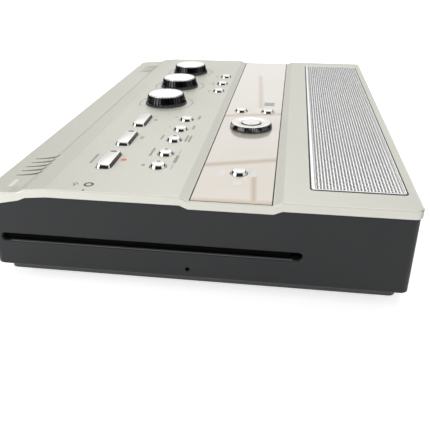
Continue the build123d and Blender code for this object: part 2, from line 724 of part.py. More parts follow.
def make_bar_button(name, x):
    """A long push button of the transport row."""
    flange_top = PLATE_UNDER - SEAT_GAP
    flange_bottom = flange_top - BUTTON_FLANGE_THICK
    with BuildPart() as button:
        with BuildSketch(Plane.XY.offset(flange_bottom)):
            with Locations((x, BAR_BUTTON_Y)):
                RectangleRounded(BAR_BUTTON_LENGTH, BAR_BUTTON_WIDTH, BAR_BUTTON_CORNER)
        extrude(amount=PLATE_TOP + BUTTON_HEIGHT - flange_bottom)
        chamfer(button.faces().sort_by(Axis.Z)[-1].edges(), BUTTON_CHAMFER)
        with BuildSketch(Plane.XY.offset(flange_bottom)):
            with Locations((x, BAR_BUTTON_Y)):
                RectangleRounded(
                    BAR_BUTTON_LENGTH + 2 * BUTTON_FLANGE,
                    BAR_BUTTON_WIDTH + 2 * BUTTON_FLANGE,
                    BAR_BUTTON_CORNER + BUTTON_FLANGE,
                )
        extrude(amount=flange_top - flange_bottom)
        with BuildSketch(Plane.XY.offset(STEM_BOTTOM)):
            with Locations((x, BAR_BUTTON_Y)):
                Circle(BUTTON_STEM_RADIUS)
        extrude(amount=flange_bottom - STEM_BOTTOM)
    save(button.part, name)


def make_knob(name, x):
    """A knob: ribbed black skirt on the potentiometer's shaft, under a silver cap."""
    skirt_top = KNOB_BOTTOM + SKIRT_HEIGHT
    shaft_top = skirt_top - SKIRT_WALL
    shaft_bottom = CONTROL_BOARD_TOP + POT_BASE + SEAT_GAP
    spin = Axis((x, KNOB_Y, 0), (0, 0, 1))
    section_plane = Plane(origin=(x, KNOB_Y, 0), x_dir=(1, 0, 0), z_dir=(0, -1, 0))
    taper = SKIRT_RADIUS - SKIRT_TOP_RADIUS
    with BuildPart() as skirt:
        with BuildSketch(section_plane):
            section(
                [
                    (SHAFT_RADIUS, KNOB_BOTTOM),
                    (KNOB_HUB_RADIUS, KNOB_BOTTOM),
                    (KNOB_HUB_RADIUS, shaft_top),
                    (SKIRT_TOP_RADIUS - SKIRT_WALL, shaft_top),
                    (SKIRT_RADIUS - SKIRT_WALL, KNOB_BOTTOM),
                    (SKIRT_RADIUS, KNOB_BOTTOM),
                    (SKIRT_TOP_RADIUS, skirt_top),
                    (0, skirt_top),
                    (0, shaft_top),
                    (SHAFT_RADIUS, shaft_top),
                ]
            )
        revolve(axis=spin)
        with BuildSketch(Plane.XY.offset(KNOB_BOTTOM + 1)) as flutes:
            with Locations((x, KNOB_Y)):
                with PolarLocations(SKIRT_RADIUS - taper / 3, KNOB_RIBS):
                    Rectangle(2 * RIB_RADIUS, 2 * RIB_RADIUS)
        extrude(flutes.sketch, amount=SKIRT_HEIGHT - 1, mode=Mode.SUBTRACT)
    save(skirt.part, f"{name}_skirt")
    with BuildPart() as cap:
        with BuildSketch(section_plane):
            section(
                [
                    (0, skirt_top),
                    (CAP_RADIUS, skirt_top),
                    (CAP_TOP_RADIUS, skirt_top + CAP_HEIGHT),
                    (0, skirt_top + CAP_HEIGHT),
                ]
            )
        revolve(axis=spin)
    save(cap.part, f"{name}_cap")
    with BuildPart() as shaft:
        with BuildSketch(Plane.XY.offset(shaft_bottom)):
            with Locations((x, KNOB_Y)):
                Circle(SHAFT_RADIUS)
        extrude(amount=shaft_top - shaft_bottom)
    save(shaft.part, f"{name}_shaft")


def make_potentiometers():
    """The three potentiometers on the control board."""
    centres = [(x, KNOB_Y) for x in KNOBS.values()]
    with BuildPart() as pots:
        with BuildSketch(Plane.XY.offset(CONTROL_BOARD_TOP)):
            with Locations(*centres):
                Circle(POT_RADIUS)
        extrude(amount=POT_TOP - CONTROL_BOARD_TOP)
        with BuildSketch(Plane.XY.offset(POT_TOP)):
            with Locations(*centres):
                Circle(BUSHING_RADIUS)
        extrude(amount=PLATE_TOP - POT_TOP)
        with BuildSketch(Plane.XY.offset(CONTROL_BOARD_TOP + POT_BASE)):
            with Locations(*centres):
                Circle(SHAFT_RADIUS + RUNNING)
        extrude(amount=PLATE_TOP, mode=Mode.SUBTRACT)
    save(pots.part, "potentiometers")


def make_dial():
    """The value dial: a turning ring, its encoder and the button in its middle."""
    ring_bottom = STRIP_TOP + DIAL_LIFT
    ring_top = STRIP_TOP + DIAL_HEIGHT
    spin = Axis((DIAL_X, DIAL_Y, 0), (0, 0, 1))
    section_plane = Plane(origin=(DIAL_X, DIAL_Y, 0), x_dir=(1, 0, 0), z_dir=(0, -1, 0))
    sleeve_bottom = SWITCH_TOP + BUTTON_TRAVEL
    with BuildPart() as ring:
        with BuildSketch(section_plane):
            section(
                [
                    (DIAL_BORE, sleeve_bottom),
                    (DIAL_SLEEVE_RADIUS, sleeve_bottom),
                    (DIAL_SLEEVE_RADIUS, ring_bottom),
                    (DIAL_RADIUS - DIAL_EDGE, ring_bottom),
                    (DIAL_RADIUS, ring_bottom + DIAL_EDGE),
                    (DIAL_RADIUS, ring_top - DIAL_EDGE),
                    (DIAL_RADIUS - DIAL_EDGE, ring_top),
                    (DIAL_BORE, ring_top - ENTER_HOLLOW),
                ]
            )
        revolve(axis=spin)
    save(ring.part, "value_dial")
    with BuildPart() as enter:
        with BuildSketch(Plane.XY.offset(ring_top - 4 * BUTTON_TRAVEL)):
            with Locations((DIAL_X, DIAL_Y)):
                Circle(ENTER_RADIUS)
        extrude(amount=4 * BUTTON_TRAVEL)
        chamfer(enter.faces().sort_by(Axis.Z)[-1].edges(), BUTTON_CHAMFER)
        with BuildSketch(Plane.XY.offset(STEM_BOTTOM)):
            with Locations((DIAL_X, DIAL_Y)):
                Circle(BUTTON_STEM_RADIUS)
        extrude(amount=ring_top - 4 * BUTTON_TRAVEL - STEM_BOTTOM)
    save(enter.part, "enter_button")
    with BuildPart() as encoder:
        with BuildSketch(Plane.XY.offset(CONTROL_BOARD_TOP)):
            with Locations((DIAL_X, DIAL_Y)):
                Circle(ENCODER_RADIUS)
                Circle(ENCODER_BORE, mode=Mode.SUBTRACT)
        extrude(amount=sleeve_bottom - SEAT_GAP - CONTROL_BOARD_TOP)
    save(encoder.part, "dial_encoder")


def make_control_board():
    """The circuit board that hangs under the plate, with its push switches."""
    left, right, front, back = CONTROL_BOARD
    bars = [(x, BAR_BUTTON_Y) for x in BAR_BUTTONS.values()]
    switches = [*PANEL_BUTTONS.values(), *STRIP_BUTTONS.values(), *bars, (DIAL_X, DIAL_Y)]
    with BuildPart() as board:
        with BuildSketch(Plane.XY.offset(BOARD_UNDER)):
            with Locations(((left + right) / 2, (front + back) / 2)):
                Rectangle(right - left, back - front)
        extrude(amount=BOARD_THICK)
    save(board.part, "control_board")
    with BuildPart() as tacts:
        with BuildSketch(Plane.XY.offset(CONTROL_BOARD_TOP)):
            with Locations(*switches):
                Rectangle(SWITCH_SIZE, SWITCH_SIZE)
        extrude(amount=SWITCH_TOP - SWITCH_CAP - CONTROL_BOARD_TOP)
        with BuildSketch(Plane.XY.offset(SWITCH_TOP - SWITCH_CAP)):
            with Locations(*switches):
                Rectangle(SWITCH_CAP_SIZE, SWITCH_CAP_SIZE)
        extrude(amount=SWITCH_CAP)
    save(tacts.part, "push_switches")
    with BuildPart() as lamp:
        with BuildSketch(Plane.XY.offset(CONTROL_BOARD_TOP)):
            with Locations((LAMP_X, LAMP_Y)):
                Circle(LAMP_RADIUS)
        extrude(amount=PLATE_TOP - CONTROL_BOARD_TOP)
    save(lamp.part, "power_lamp")


def make_main_board():
    """The main circuit board, with its larger components, on posts of the pan."""
    left, right, front, back = MAIN_BOARD
    middle_x = (left + right) / 2
    middle_y = (front + back) / 2
    with BuildPart() as board:
        with BuildSketch(Plane.XY.offset(MAIN_BOARD_TOP - BOARD_THICK)):
            with Locations((middle_x, middle_y)):
                Rectangle(right - left, back - front)
        extrude(amount=BOARD_THICK)
        for x, y, length, width, height in COMPONENTS:
            with BuildSketch(Plane.XY.offset(MAIN_BOARD_TOP)):
                with Locations((middle_x + x, middle_y + y)):
                    Rectangle(length, width)
            extrude(amount=height)
    save(board.part, "main_board")


def make_mic_capsules():
    """One microphone capsule behind each group of slots."""
    with BuildPart() as mics:
        with BuildSketch(Plane.XY.offset(MIC_TOP - MIC_LENGTH)):
            with Locations((-MIC_X, MIC_Y), (MIC_X, MIC_Y)):
                Circle(MIC_RADIUS)
        extrude(amount=MIC_LENGTH)
    save(mics.part, "mic_capsules")


def make_drive():
    """The slot-in drive: tray, rails, cover, spindle, pickup and loading roller."""
    left = DRIVE_FRONT - DRIVE_LENGTH
    middle_x = (left + DRIVE_FRONT) / 2
    half = BAY_WIDTH / 2 + RAIL_WIDTH
    rod_x = (SPINDLE_X - ROD_SPACING / 2, SPINDLE_X + ROD_SPACING / 2)
    sled_near = SLOT_CENTRE_Y + SLED_START
    sled_far = sled_near + SLED_SIZE[1] + SLED_TRAVEL
    lens_y = sled_near + SLED_SIZE[1] / 2
    rod_z = SLED_TOP - SLED_SIZE[2] / 2
    motor_floor = TRAY_UNDER - MOTOR_HEIGHT + MOTOR_BASE
    roller_tabs = [SLOT_CENTRE_Y + side * (ROLLER_LENGTH / 2 + ROLLER_END) for side in (-1, 1)]
    rod_ends = (sled_near - SLED_GAP, sled_far + SLED_GAP)

    with BuildPart() as tray:
        with BuildSketch(Plane.XY.offset(TRAY_UNDER)):
            with Locations((middle_x, SLOT_CENTRE_Y)):
                Rectangle(DRIVE_LENGTH, 2 * (half + TRAY_MARGIN))
            with Locations((SPINDLE_X, SLOT_CENTRE_Y)):
                Circle(SPINDLE_RADIUS + SPINDLE_HOLE, mode=Mode.SUBTRACT)
            with Locations((SPINDLE_X, lens_y + SLED_TRAVEL / 2)):
                SlotOverall(
                    SLED_TRAVEL + 2 * (LENS_RADIUS + LENS_GAP),
                    2 * (LENS_RADIUS + LENS_GAP),
                    rotation=90,
                    mode=Mode.SUBTRACT,
                )
            with Locations((ROLLER_X, SLOT_CENTRE_Y)):
                Rectangle(
                    2 * (ROLLER_RADIUS + ROLLER_GAP),
                    ROLLER_LENGTH + 4 * ROLLER_GAP,
                    mode=Mode.SUBTRACT,
                )
        extrude(amount=SHEET)
        # Tabs bent down for the guide rods and for the roller's shaft
        with BuildSketch(Plane.XY.offset(TRAY_UNDER)):
            for end, outward in zip(rod_ends, (-1, 1)):
                with Locations(*[(x, end + outward * TAB_THICK / 2) for x in rod_x]):
                    Rectangle(TAB_WIDTH / 2, TAB_THICK)
            with Locations(*[(ROLLER_X, y) for y in roller_tabs]):
                Rectangle(TAB_WIDTH, TAB_THICK)
        extrude(amount=-TAB_DROP)
        with BuildSketch(Plane.XZ.offset(-SLOT_CENTRE_Y)):
            with Locations((ROLLER_X, ROLLER_Z)):
                Circle(SPINDLE_RADIUS + RUNNING)
        extrude(amount=ROLLER_LENGTH, both=True, mode=Mode.SUBTRACT)
    save(tray.part, "drive_tray")

    with BuildPart() as rails:
        with BuildSketch(Plane.XY.offset(TRAY_TOP)):
            with Locations((middle_x, SLOT_CENTRE_Y)):
                with GridLocations(0, 2 * half - RAIL_WIDTH, 1, 2):
                    Rectangle(DRIVE_LENGTH, RAIL_WIDTH)
        extrude(amount=RAIL_HEIGHT)
    save(rails.part, "drive_rails")

    with BuildPart() as cover:
        with BuildSketch(Plane.XY.offset(TRAY_TOP + RAIL_HEIGHT)):
            with Locations((middle_x, SLOT_CENTRE_Y)):
                Rectangle(DRIVE_LENGTH, 2 * half)
        extrude(amount=SHEET)
    save(cover.part, "drive_cover")

    with BuildPart() as motor:
        with BuildSketch(Plane.XY.offset(TRAY_UNDER - MOTOR_HEIGHT)):
            with Locations((SPINDLE_X, SLOT_CENTRE_Y)):
                Circle(MOTOR_RADIUS)
        extrude(amount=MOTOR_HEIGHT)
        with BuildSketch(Plane.XY.offset(motor_floor)):
            with Locations((SPINDLE_X, SLOT_CENTRE_Y)):
                Circle(SPINDLE_RADIUS + RUNNING)
        extrude(amount=MOTOR_HEIGHT, mode=Mode.SUBTRACT)
    save(motor.part, "spindle_motor")

    disc_bottom = TRAY_TOP + SEAT_GAP
    with BuildPart() as hub:
        with BuildSketch(Plane.XY.offset(motor_floor + SEAT_GAP)):
            with Locations((SPINDLE_X, SLOT_CENTRE_Y)):
                Circle(SPINDLE_RADIUS)
        extrude(amount=disc_bottom - motor_floor - SEAT_GAP)
        with BuildSketch(Plane.XY.offset(disc_bottom)):
            with Locations((SPINDLE_X, SLOT_CENTRE_Y)):
                Circle(HUB_RADIUS)
        extrude(amount=HUB_DISC)
        with BuildSketch(Plane.XY.offset(disc_bottom + HUB_DISC)):
            with Locations((SPINDLE_X, SLOT_CENTRE_Y)):
                Circle(HUB_CONE_RADIUS)
        extrude(amount=HUB_TOP - disc_bottom - HUB_DISC)
    save(hub.part, "spindle_hub")

    with BuildPart() as sled:
        with BuildSketch(Plane.XY.offset(SLED_TOP - SLED_SIZE[2])):
            with Locations((SPINDLE_X, lens_y)):
                Rectangle(SLED_SIZE[0], SLED_SIZE[1])
        extrude(amount=SLED_SIZE[2])
        with BuildSketch(Plane.XY.offset(SLED_TOP)):
            with Locations((SPINDLE_X, lens_y)):
                Circle(LENS_RADIUS)
        extrude(amount=LENS_HEIGHT)
        with BuildSketch(Plane.XZ.offset(-lens_y)):
            with Locations(*[(x, rod_z) for x in rod_x]):
                Circle(ROD_RADIUS + RUNNING)
        extrude(amount=SLED_SIZE[1], both=True, mode=Mode.SUBTRACT)
    save(sled.part, "pickup_sled")

    with BuildPart() as rods:
        with BuildSketch(Plane.XZ.offset(-rod_ends[1])):
            with Locations(*[(x, rod_z) for x in rod_x]):
                Circle(ROD_RADIUS)
        extrude(amount=rod_ends[1] - rod_ends[0])
    save(rods.part, "guide_rods")

    shaft_half = ROLLER_LENGTH / 2 + ROLLER_END + TAB_THICK / 2
    with BuildPart() as roller:
        with BuildSketch(Plane.XZ.offset(-SLOT_CENTRE_Y - shaft_half)):
            with Locations((ROLLER_X, ROLLER_Z)):
                Circle(SPINDLE_RADIUS)
        extrude(amount=2 * shaft_half)
        with BuildSketch(Plane.XZ.offset(-SLOT_CENTRE_Y - ROLLER_LENGTH / 2)):
            with Locations((ROLLER_X, ROLLER_Z)):
                Circle(ROLLER_RADIUS)
        extrude(amount=ROLLER_LENGTH)
    save(roller.part, "loading_roller")


def make_phone_jacks(name, xs, side):
    """Sockets for 6.3 mm plugs in the front (side -1) or back (side 1) wall."""
    face = side * (CASE_Y + JACK_PROUD)
    inner = side * (CASE_Y - CASE_WALL)
    length, depth, height = JACK_BODY
    with BuildPart() as jacks:
        with BuildSketch(Plane.XZ.offset(-face)):
            with Locations(*[(x, JACK_Z) for x in xs]):
                Circle(JACK_RADIUS)
        extrude(amount=face - inner)
        with BuildSketch(Plane.XZ.offset(-inner)):
            with Locations(*[(x, JACK_Z) for x in xs]):
                Rectangle(length, height)
        extrude(amount=side * depth)
        with BuildSketch(Plane.XZ.offset(-face)):
            with Locations(*[(x, JACK_Z) for x in xs]):
                Circle(JACK_BORE)
        extrude(amount=side * JACK_DEPTH, mode=Mode.SUBTRACT)
    save(jacks.part, name)


def make_socket_bay():
    """The recessed bay in the back wall, with the line and supply sockets."""
    length, depth, height = SOCKET_BAY
    panel = CASE_Y - CASE_WALL - depth
    with BuildPart() as bay:
        with BuildSketch(Plane.XZ.offset(-(CASE_Y - CASE_WALL))):
            with Locations((BAY_X, JACK_Z)):
                Rectangle(length + 2 * BAY_SHEET, height + 2 * BAY_SHEET)
        extrude(amount=depth + BAY_SHEET)
        with BuildSketch(Plane.XZ.offset(-(CASE_Y - CASE_WALL))):
            with Locations((BAY_X, JACK_Z)):
                Rectangle(length, height)
        extrude(amount=depth, mode=Mode.SUBTRACT)
        with BuildSketch(Plane.XZ.offset(-panel)):
            with Locations(*[(x, JACK_Z) for x in LINE_X]):
                Circle(LINE_RADIUS + BUTTON_GAP)
            with Locations((DC_X, JACK_Z)):
                Circle(DC_RADIUS + BUTTON_GAP)
        extrude(amount=BAY_SHEET, mode=Mode.SUBTRACT)
    save(bay.part, "socket_bay")

    with BuildPart() as lines:
        body_length, body_depth, body_height = LINE_BODY
        with BuildSketch(Plane.XZ.offset(-(panel + LINE_LENGTH))):
            with Locations(*[(x, JACK_Z) for x in LINE_X]):
                Circle(LINE_RADIUS)
        extrude(amount=LINE_LENGTH + BAY_SHEET)
        with BuildSketch(Plane.XZ.offset(-(panel - BAY_SHEET))):
            with Locations(*[(x, JACK_Z) for x in LINE_X]):
                Rectangle(body_length, body_height)
        extrude(amount=body_depth)
        with BuildSketch(Plane.XZ.offset(-(panel + LINE_LENGTH))):
            with Locations(*[(x, JACK_Z) for x in LINE_X]):
                Circle(LINE_BORE)
        extrude(amount=LINE_LENGTH, mode=Mode.SUBTRACT)
    save(lines.part, "line_sockets")

    with BuildPart() as inlet:
        with BuildSketch(Plane.XZ.offset(-panel)):
            with Locations((DC_X, JACK_Z)):
                Circle(DC_RADIUS)
        extrude(amount=DC_DEPTH + BAY_SHEET)
        with BuildSketch(Plane.XZ.offset(-panel)):
            with Locations((DC_X, JACK_Z)):
                Circle(DC_BORE)
                Circle(DC_PIN, mode=Mode.SUBTRACT)
        extrude(amount=DC_DEPTH, mode=Mode.SUBTRACT)
    save(inlet.part, "supply_inlet")


def make_power_button():
    """The power button in the back wall, and its switch behind it."""
    outer = CASE_Y + POWER_PROUD
    inner = outer - POWER_LENGTH
    with BuildPart() as button:
        with BuildSketch(Plane.XZ.offset(-outer)):
            with Locations((POWER_X, JACK_Z)):
                Rectangle(*POWER_SIZE)
        extrude(amount=POWER_LENGTH)
        chamfer(button.faces().sort_by(Axis.Y)[-1].edges(), BUTTON_CHAMFER)
    save(button.part, "power_button")
    with BuildPart() as switch:
        with BuildSketch(Plane.XZ.offset(-(inner - POWER_TRAVEL - SEAT_GAP))):
            with Locations((POWER_X, JACK_Z)):
                Rectangle(POWER_SIZE[0] + 2 * POWER_RIM, POWER_SIZE[1] + 2 * POWER_RIM)
        extrude(amount=POWER_LENGTH)
        with BuildSketch(Plane.XZ.offset(-(CASE_Y - CASE_WALL))):
            with Locations((POWER_X, JACK_Z)):
                Rectangle(POWER_SIZE[0] + 2 * POWER_RIM, POWER_SIZE[1] + 2 * POWER_RIM)
                Rectangle(
                    POWER_SIZE[0] + 2 * BUTTON_GAP,
                    POWER_SIZE[1] + 2 * BUTTON_GAP,
                    mode=Mode.SUBTRACT,
                )
        extrude(amount=CASE_Y - CASE_WALL - inner + POWER_TRAVEL + SEAT_GAP)
    save(switch.part, "power_switch")


make_top_plate()
make_side_case()
make_bottom_pan()
make_feet()
make_case_screws()
make_display_strip()
make_display_module()
make_speaker_grille()
make_speaker_baffle()
make_speakers()
for button_name, centre in PANEL_BUTTONS.items():
    make_round_button(button_name, *centre, PLATE_TOP)
for button_name, centre in STRIP_BUTTONS.items():
    make_round_button(button_name, *centre, STRIP_TOP)
for button_name, button_x in BAR_BUTTONS.items():
    make_bar_button(button_name, button_x)
for knob_name, knob_x in KNOBS.items():
    make_knob(knob_name, knob_x)
make_potentiometers()
make_dial()
make_control_board()
make_main_board()
make_mic_capsules()
make_drive()
make_phone_jacks("phones_sockets", PHONES_X, -1)
make_phone_jacks("mic_sockets", MIC_JACK_X, 1)
make_socket_bay()
make_power_button()
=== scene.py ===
# %% [markdown]
# A portable disc recorder, dressed for a picture. The real one is a low box: a silver control
# plate with knobs and keys sits on a charcoal case, and discs go in at a slot in its right side.
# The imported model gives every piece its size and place, so it is loaded first and left alone,
# and new pieces are modelled on top of it, in metres.
# %% Load the frame
import json
import math

import bmesh
import bpy
from mathutils import Euler, Matrix, Vector


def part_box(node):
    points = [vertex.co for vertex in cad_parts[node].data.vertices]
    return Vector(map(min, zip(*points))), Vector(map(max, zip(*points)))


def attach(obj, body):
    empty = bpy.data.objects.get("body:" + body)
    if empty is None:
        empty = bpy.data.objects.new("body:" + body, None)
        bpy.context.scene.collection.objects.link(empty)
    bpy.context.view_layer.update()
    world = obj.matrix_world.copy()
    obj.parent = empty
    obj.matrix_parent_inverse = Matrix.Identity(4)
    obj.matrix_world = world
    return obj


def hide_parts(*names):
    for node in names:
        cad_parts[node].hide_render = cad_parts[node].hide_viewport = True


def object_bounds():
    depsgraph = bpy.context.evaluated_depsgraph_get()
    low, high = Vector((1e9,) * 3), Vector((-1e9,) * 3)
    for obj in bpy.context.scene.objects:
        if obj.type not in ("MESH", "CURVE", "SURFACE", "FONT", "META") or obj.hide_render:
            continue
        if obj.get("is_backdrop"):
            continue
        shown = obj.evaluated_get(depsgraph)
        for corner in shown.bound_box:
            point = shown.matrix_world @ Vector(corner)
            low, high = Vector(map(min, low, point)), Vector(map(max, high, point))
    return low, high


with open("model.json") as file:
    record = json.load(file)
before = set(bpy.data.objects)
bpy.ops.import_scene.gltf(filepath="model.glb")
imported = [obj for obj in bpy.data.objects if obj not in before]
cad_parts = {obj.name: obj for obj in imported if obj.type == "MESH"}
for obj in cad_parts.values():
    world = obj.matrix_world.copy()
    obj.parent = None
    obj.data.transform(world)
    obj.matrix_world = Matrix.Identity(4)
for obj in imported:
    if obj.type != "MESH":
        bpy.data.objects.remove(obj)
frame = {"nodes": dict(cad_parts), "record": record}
nodes = frame["nodes"]
cad_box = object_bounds()
MM = 0.001

# %% [markdown]
# The camera looks along the recorder from its slot side, from a little above. A long lens would
# flatten the box, so the lens is kept near the one that the perspective of its edges asks for.
# %% Camera
CAMERA_PLACE = (0.4150, 0.0457, 0.1744)
CAMERA_LENS = 45.48
LOOK_DOWN = 27.1
LOOK_ROUND = 7.87
scene = bpy.context.scene
camera_data = bpy.data.cameras.new("picture_camera")
camera = bpy.data.objects.new("picture_camera", camera_data)
scene.collection.objects.link(camera)
camera_data.lens = CAMERA_LENS
camera_data.sensor_width = 36
camera_data.clip_start = 0.02
camera.location = CAMERA_PLACE
camera.rotation_euler = Euler((math.radians(90 - LOOK_DOWN), 0, math.radians(90 + LOOK_ROUND)))
scene.camera = camera
print("camera at", CAMERA_PLACE, "lens", CAMERA_LENS)

# %% [markdown]
# Every tree of shader nodes below is wired with the same few helpers: two feed sockets, and the
# others add the nodes that recur, for sums, for vectors and for soft steps.
# %% Wiring helpers


def wire(tree, socket, value):
    """Feed a socket from another socket, or give it a plain value."""
    if isinstance(value, bpy.types.NodeSocket):
        tree.links.new(value, socket)
    else:
        socket.default_value = value


def wire_all(tree, node, values):
    """Feed several sockets of a node, by their labels."""
    for label, value in values.items():
        wire(tree, node.inputs[label], value)


def math_node(tree, operation, *values, clamp=False):
    """The result of a Math node that is fed by sockets or by plain numbers."""
    node = tree.nodes.new("ShaderNodeMath")
    node.operation = operation
    node.use_clamp = clamp
    for socket, value in zip(node.inputs, values):
        wire(tree, socket, value)
    return node.outputs[0]


def vector_node(tree, operation, *values):
    """A Vector Math node that is fed by sockets or by plain vectors."""
    node = tree.nodes.new("ShaderNodeVectorMath")
    node.operation = operation
    for socket, value in zip(node.inputs, values):
        wire(tree, socket, value)
    return node


def soft_step(tree, value, start, end, low=0.0, high=1.0):
    """Low as far as the start, high from the end on, and a soft step between them."""
    node = tree.nodes.new("ShaderNodeMapRange")
    node.interpolation_type = "SMOOTHSTEP"
    wire_all(tree, node, {"Value": value, "From Min": start, "From Max": end, "To Min": low,
                          "To Max": high})
    return node.outputs["Result"]


print("wiring helpers ready")

# %% [markdown]
# The light is a plain soft studio: a wide lamp overhead, a softer one beside the camera, and a
# pale world. The world is plain white to the camera and is dimmer as a light, so that the silver
# paint keeps its own tone. Gloss sees it white too, but for a dark horizon with two bright sides,
# as in a room with two soft boxes. Bright metal has no look of its own, and needs that contrast.
# %% World
WORLD_LIGHT = 0.42
DARK_HORIZON = 0.03
scene.view_settings.view_transform = "Standard"
world = bpy.data.worlds.new("studio")
scene.world = world
world.use_nodes = True
studio = world.node_tree
studio.nodes.clear()
heading = studio.nodes.new("ShaderNodeTexCoord").outputs["Generated"]
path = studio.nodes.new("ShaderNodeLightPath")
to_camera, in_gloss = path.outputs["Is Camera Ray"], path.outputs["Is Glossy Ray"]
print("world:", world.name)

# %% What gloss sees of the room
ROOM_TURN = math.radians(16)


def along(*way):
    """How far a heading goes along a given way."""
    return vector_node(studio, "DOT_PRODUCT", heading, way).outputs["Value"]


ceiling = soft_step(studio, along(-0.30, 0, 1), 0.39, 0.47)
aside = along(-math.sin(ROOM_TURN), math.cos(ROOM_TURN), 0)
to_side = soft_step(studio, math_node(studio, "ABSOLUTE", aside), 0.66, 0.76)
to_front = soft_step(studio, along(math.cos(ROOM_TURN), math.sin(ROOM_TURN), 0), -0.20, -0.06)
boxes = math_node(studio, "MULTIPLY", to_side, to_front)
room = math_node(studio, "MAXIMUM", math_node(studio, "MAXIMUM", ceiling, boxes), DARK_HORIZON)
print("room turned by", round(math.degrees(ROOM_TURN)), "degrees")

# %% What the camera and the light get of it
seen = math_node(studio, "MAXIMUM", to_camera, math_node(studio, "MULTIPLY", in_gloss, room))
unseen = math_node(studio, "SUBTRACT", 1.0, math_node(studio, "MAXIMUM", to_camera, in_gloss))
backing = studio.nodes.new("ShaderNodeBackground")
backing.inputs["Color"].default_value = (1.0, 1.0, 1.0, 1)
wire(studio, backing.inputs["Strength"], math_node(studio, "MULTIPLY_ADD", unseen, WORLD_LIGHT, seen))
wire(studio, studio.nodes.new("ShaderNodeOutputWorld").inputs["Surface"], backing.outputs[0])
print("world:", len(studio.nodes), "nodes")

# %% Lamps


def add_lamp(name, place, target, size, power):
    """A square soft lamp at a place, turned to face a target."""
    data = bpy.data.lights.new(name, "AREA")
    data.size = size
    data.energy = power
    lamp = bpy.data.objects.new(name, data)
    lamp.location = place
    lamp.rotation_euler = (Vector(target) - Vector(place)).to_track_quat("-Z", "Y").to_euler()
    scene.collection.objects.link(lamp)


add_lamp("overhead_lamp", (-0.55, -0.02, 0.87), (-0.1, -0.03, 0), 0.9, 5.3)
add_lamp("camera_side_lamp", (0.56, -0.7, 0.26), (0.12, -0.05, 0.03), 0.6, 3.0)

# %% [markdown]
# Several finishes share the same small effects: a fine grain as in moulded plastic or paint, a
# soft unevenness of tone, and the fine lines of drawn or spun metal. Each effect is a node group
# with named sockets, built once and placed in every material that needs it.
# %% Node groups


def new_group(name, inputs, outputs):
    """An empty shader group with these sockets, and its two end nodes."""
    group = bpy.data.node_groups.new(name, "ShaderNodeTree")
    for label, value in inputs.items():
        kind = "Float" if isinstance(value, float) else "Color" if len(value) == 4 else "Vector"
        socket = group.interface.new_socket(name=label, in_out="INPUT", socket_type="NodeSocket" + kind)
        socket.default_value = value
    for label, kind in outputs.items():
        group.interface.new_socket(name=label, in_out="OUTPUT", socket_type="NodeSocket" + kind)
    return group, group.nodes.new("NodeGroupInput"), group.nodes.new("NodeGroupOutput")


def place_group(tree, group, values):
    """A group placed in a tree, with its sockets fed."""
    node = tree.nodes.new("ShaderNodeGroup")
    node.node_tree = group
    wire_all(tree, node, values)
    return node


def noise_node(tree, place, scale, detail):
    """The value of a Noise node at a place."""
    node = tree.nodes.new("ShaderNodeTexNoise")
    wire_all(tree, node, {"Vector": place, "Scale": scale, "Detail": detail})
    return node.outputs["Fac"]


def bump_node(tree, height, strength, distance):
    """The normal of a surface that is lifted by a height."""
    node = tree.nodes.new("ShaderNodeBump")
    wire_all(tree, node, {"Height": height, "Strength": strength, "Distance": distance})
    return node.outputs["Normal"]


def own_place(tree):
    """A point's place in its object, in metres."""
    return tree.nodes.new("ShaderNodeTexCoord").outputs["Object"]


def colour_mix(tree, factor, first, second):
    """The colour that a Mix node gives."""
    node = tree.nodes.new("ShaderNodeMix")
    node.data_type = "RGBA"
    wire_all(tree, node, {"Factor": factor, "A": first, "B": second})
    return node.outputs["Result"]


print("more wiring helpers ready")

# %% Effect groups


def make_grain_group():
    """Fine even grain: a noise that lifts the surface, and a mask for the roughness."""
    group, given, result = new_group(
        "fine_grain", {"Scale": 900.0, "Height": 0.05}, {"Mask": "Float", "Normal": "Vector"})
    noise = noise_node(group, own_place(group), given.outputs["Scale"], 3.0)
    wire(group, result.inputs["Mask"], noise)
    wire(group, result.inputs["Normal"], bump_node(group, noise, given.outputs["Height"], 0.0002))
    return group


def make_tone_group():
    """Two colours, mixed by a large soft noise."""
    group, given, result = new_group(
        "soft_tone",
        {"Colour": (0.5, 0.5, 0.5, 1), "Other": (0.6, 0.6, 0.6, 1), "Scale": 12.0, "Amount": 0.5},
        {"Colour": "Color", "Mask": "Float"})
    noise = noise_node(group, own_place(group), given.outputs["Scale"], 2.0)
    doubled = math_node(group, "MULTIPLY", noise, 2.0)
    share = math_node(group, "MULTIPLY", doubled, given.outputs["Amount"], clamp=True)
    mixed = colour_mix(group, share, given.outputs["Colour"], given.outputs["Other"])
    wire(group, result.inputs["Colour"], mixed)
    wire(group, result.inputs["Mask"], share)
    return group


def make_lines_group():
    """Fine drawn lines along one direction: a noise on a stretched place."""
    group, given, result = new_group(
        "drawn_lines", {"Stretch": (20.0, 3000.0, 3000.0), "Height": 0.05},
        {"Mask": "Float", "Normal": "Vector"})
    drawn = vector_node(group, "MULTIPLY", own_place(group), given.outputs["Stretch"])
    noise = noise_node(group, drawn.outputs["Vector"], 1.0, 2.0)
    wire(group, result.inputs["Mask"], noise)
    wire(group, result.inputs["Normal"], bump_node(group, noise, given.outputs["Height"], 0.0001))
    return group


GRAIN = make_grain_group()
TONE = make_tone_group()
LINES = make_lines_group()
print("groups:", [g.name for g in bpy.data.node_groups])

# %% [markdown]
# A finish is one Principled shader. Its plain numbers stand on the shader's own sockets, and the
# groups feed only colour, roughness and normal. One helper places the groups, and each finish
# then differs by the values that a painter or a moulder would choose.
# %% Finish helper


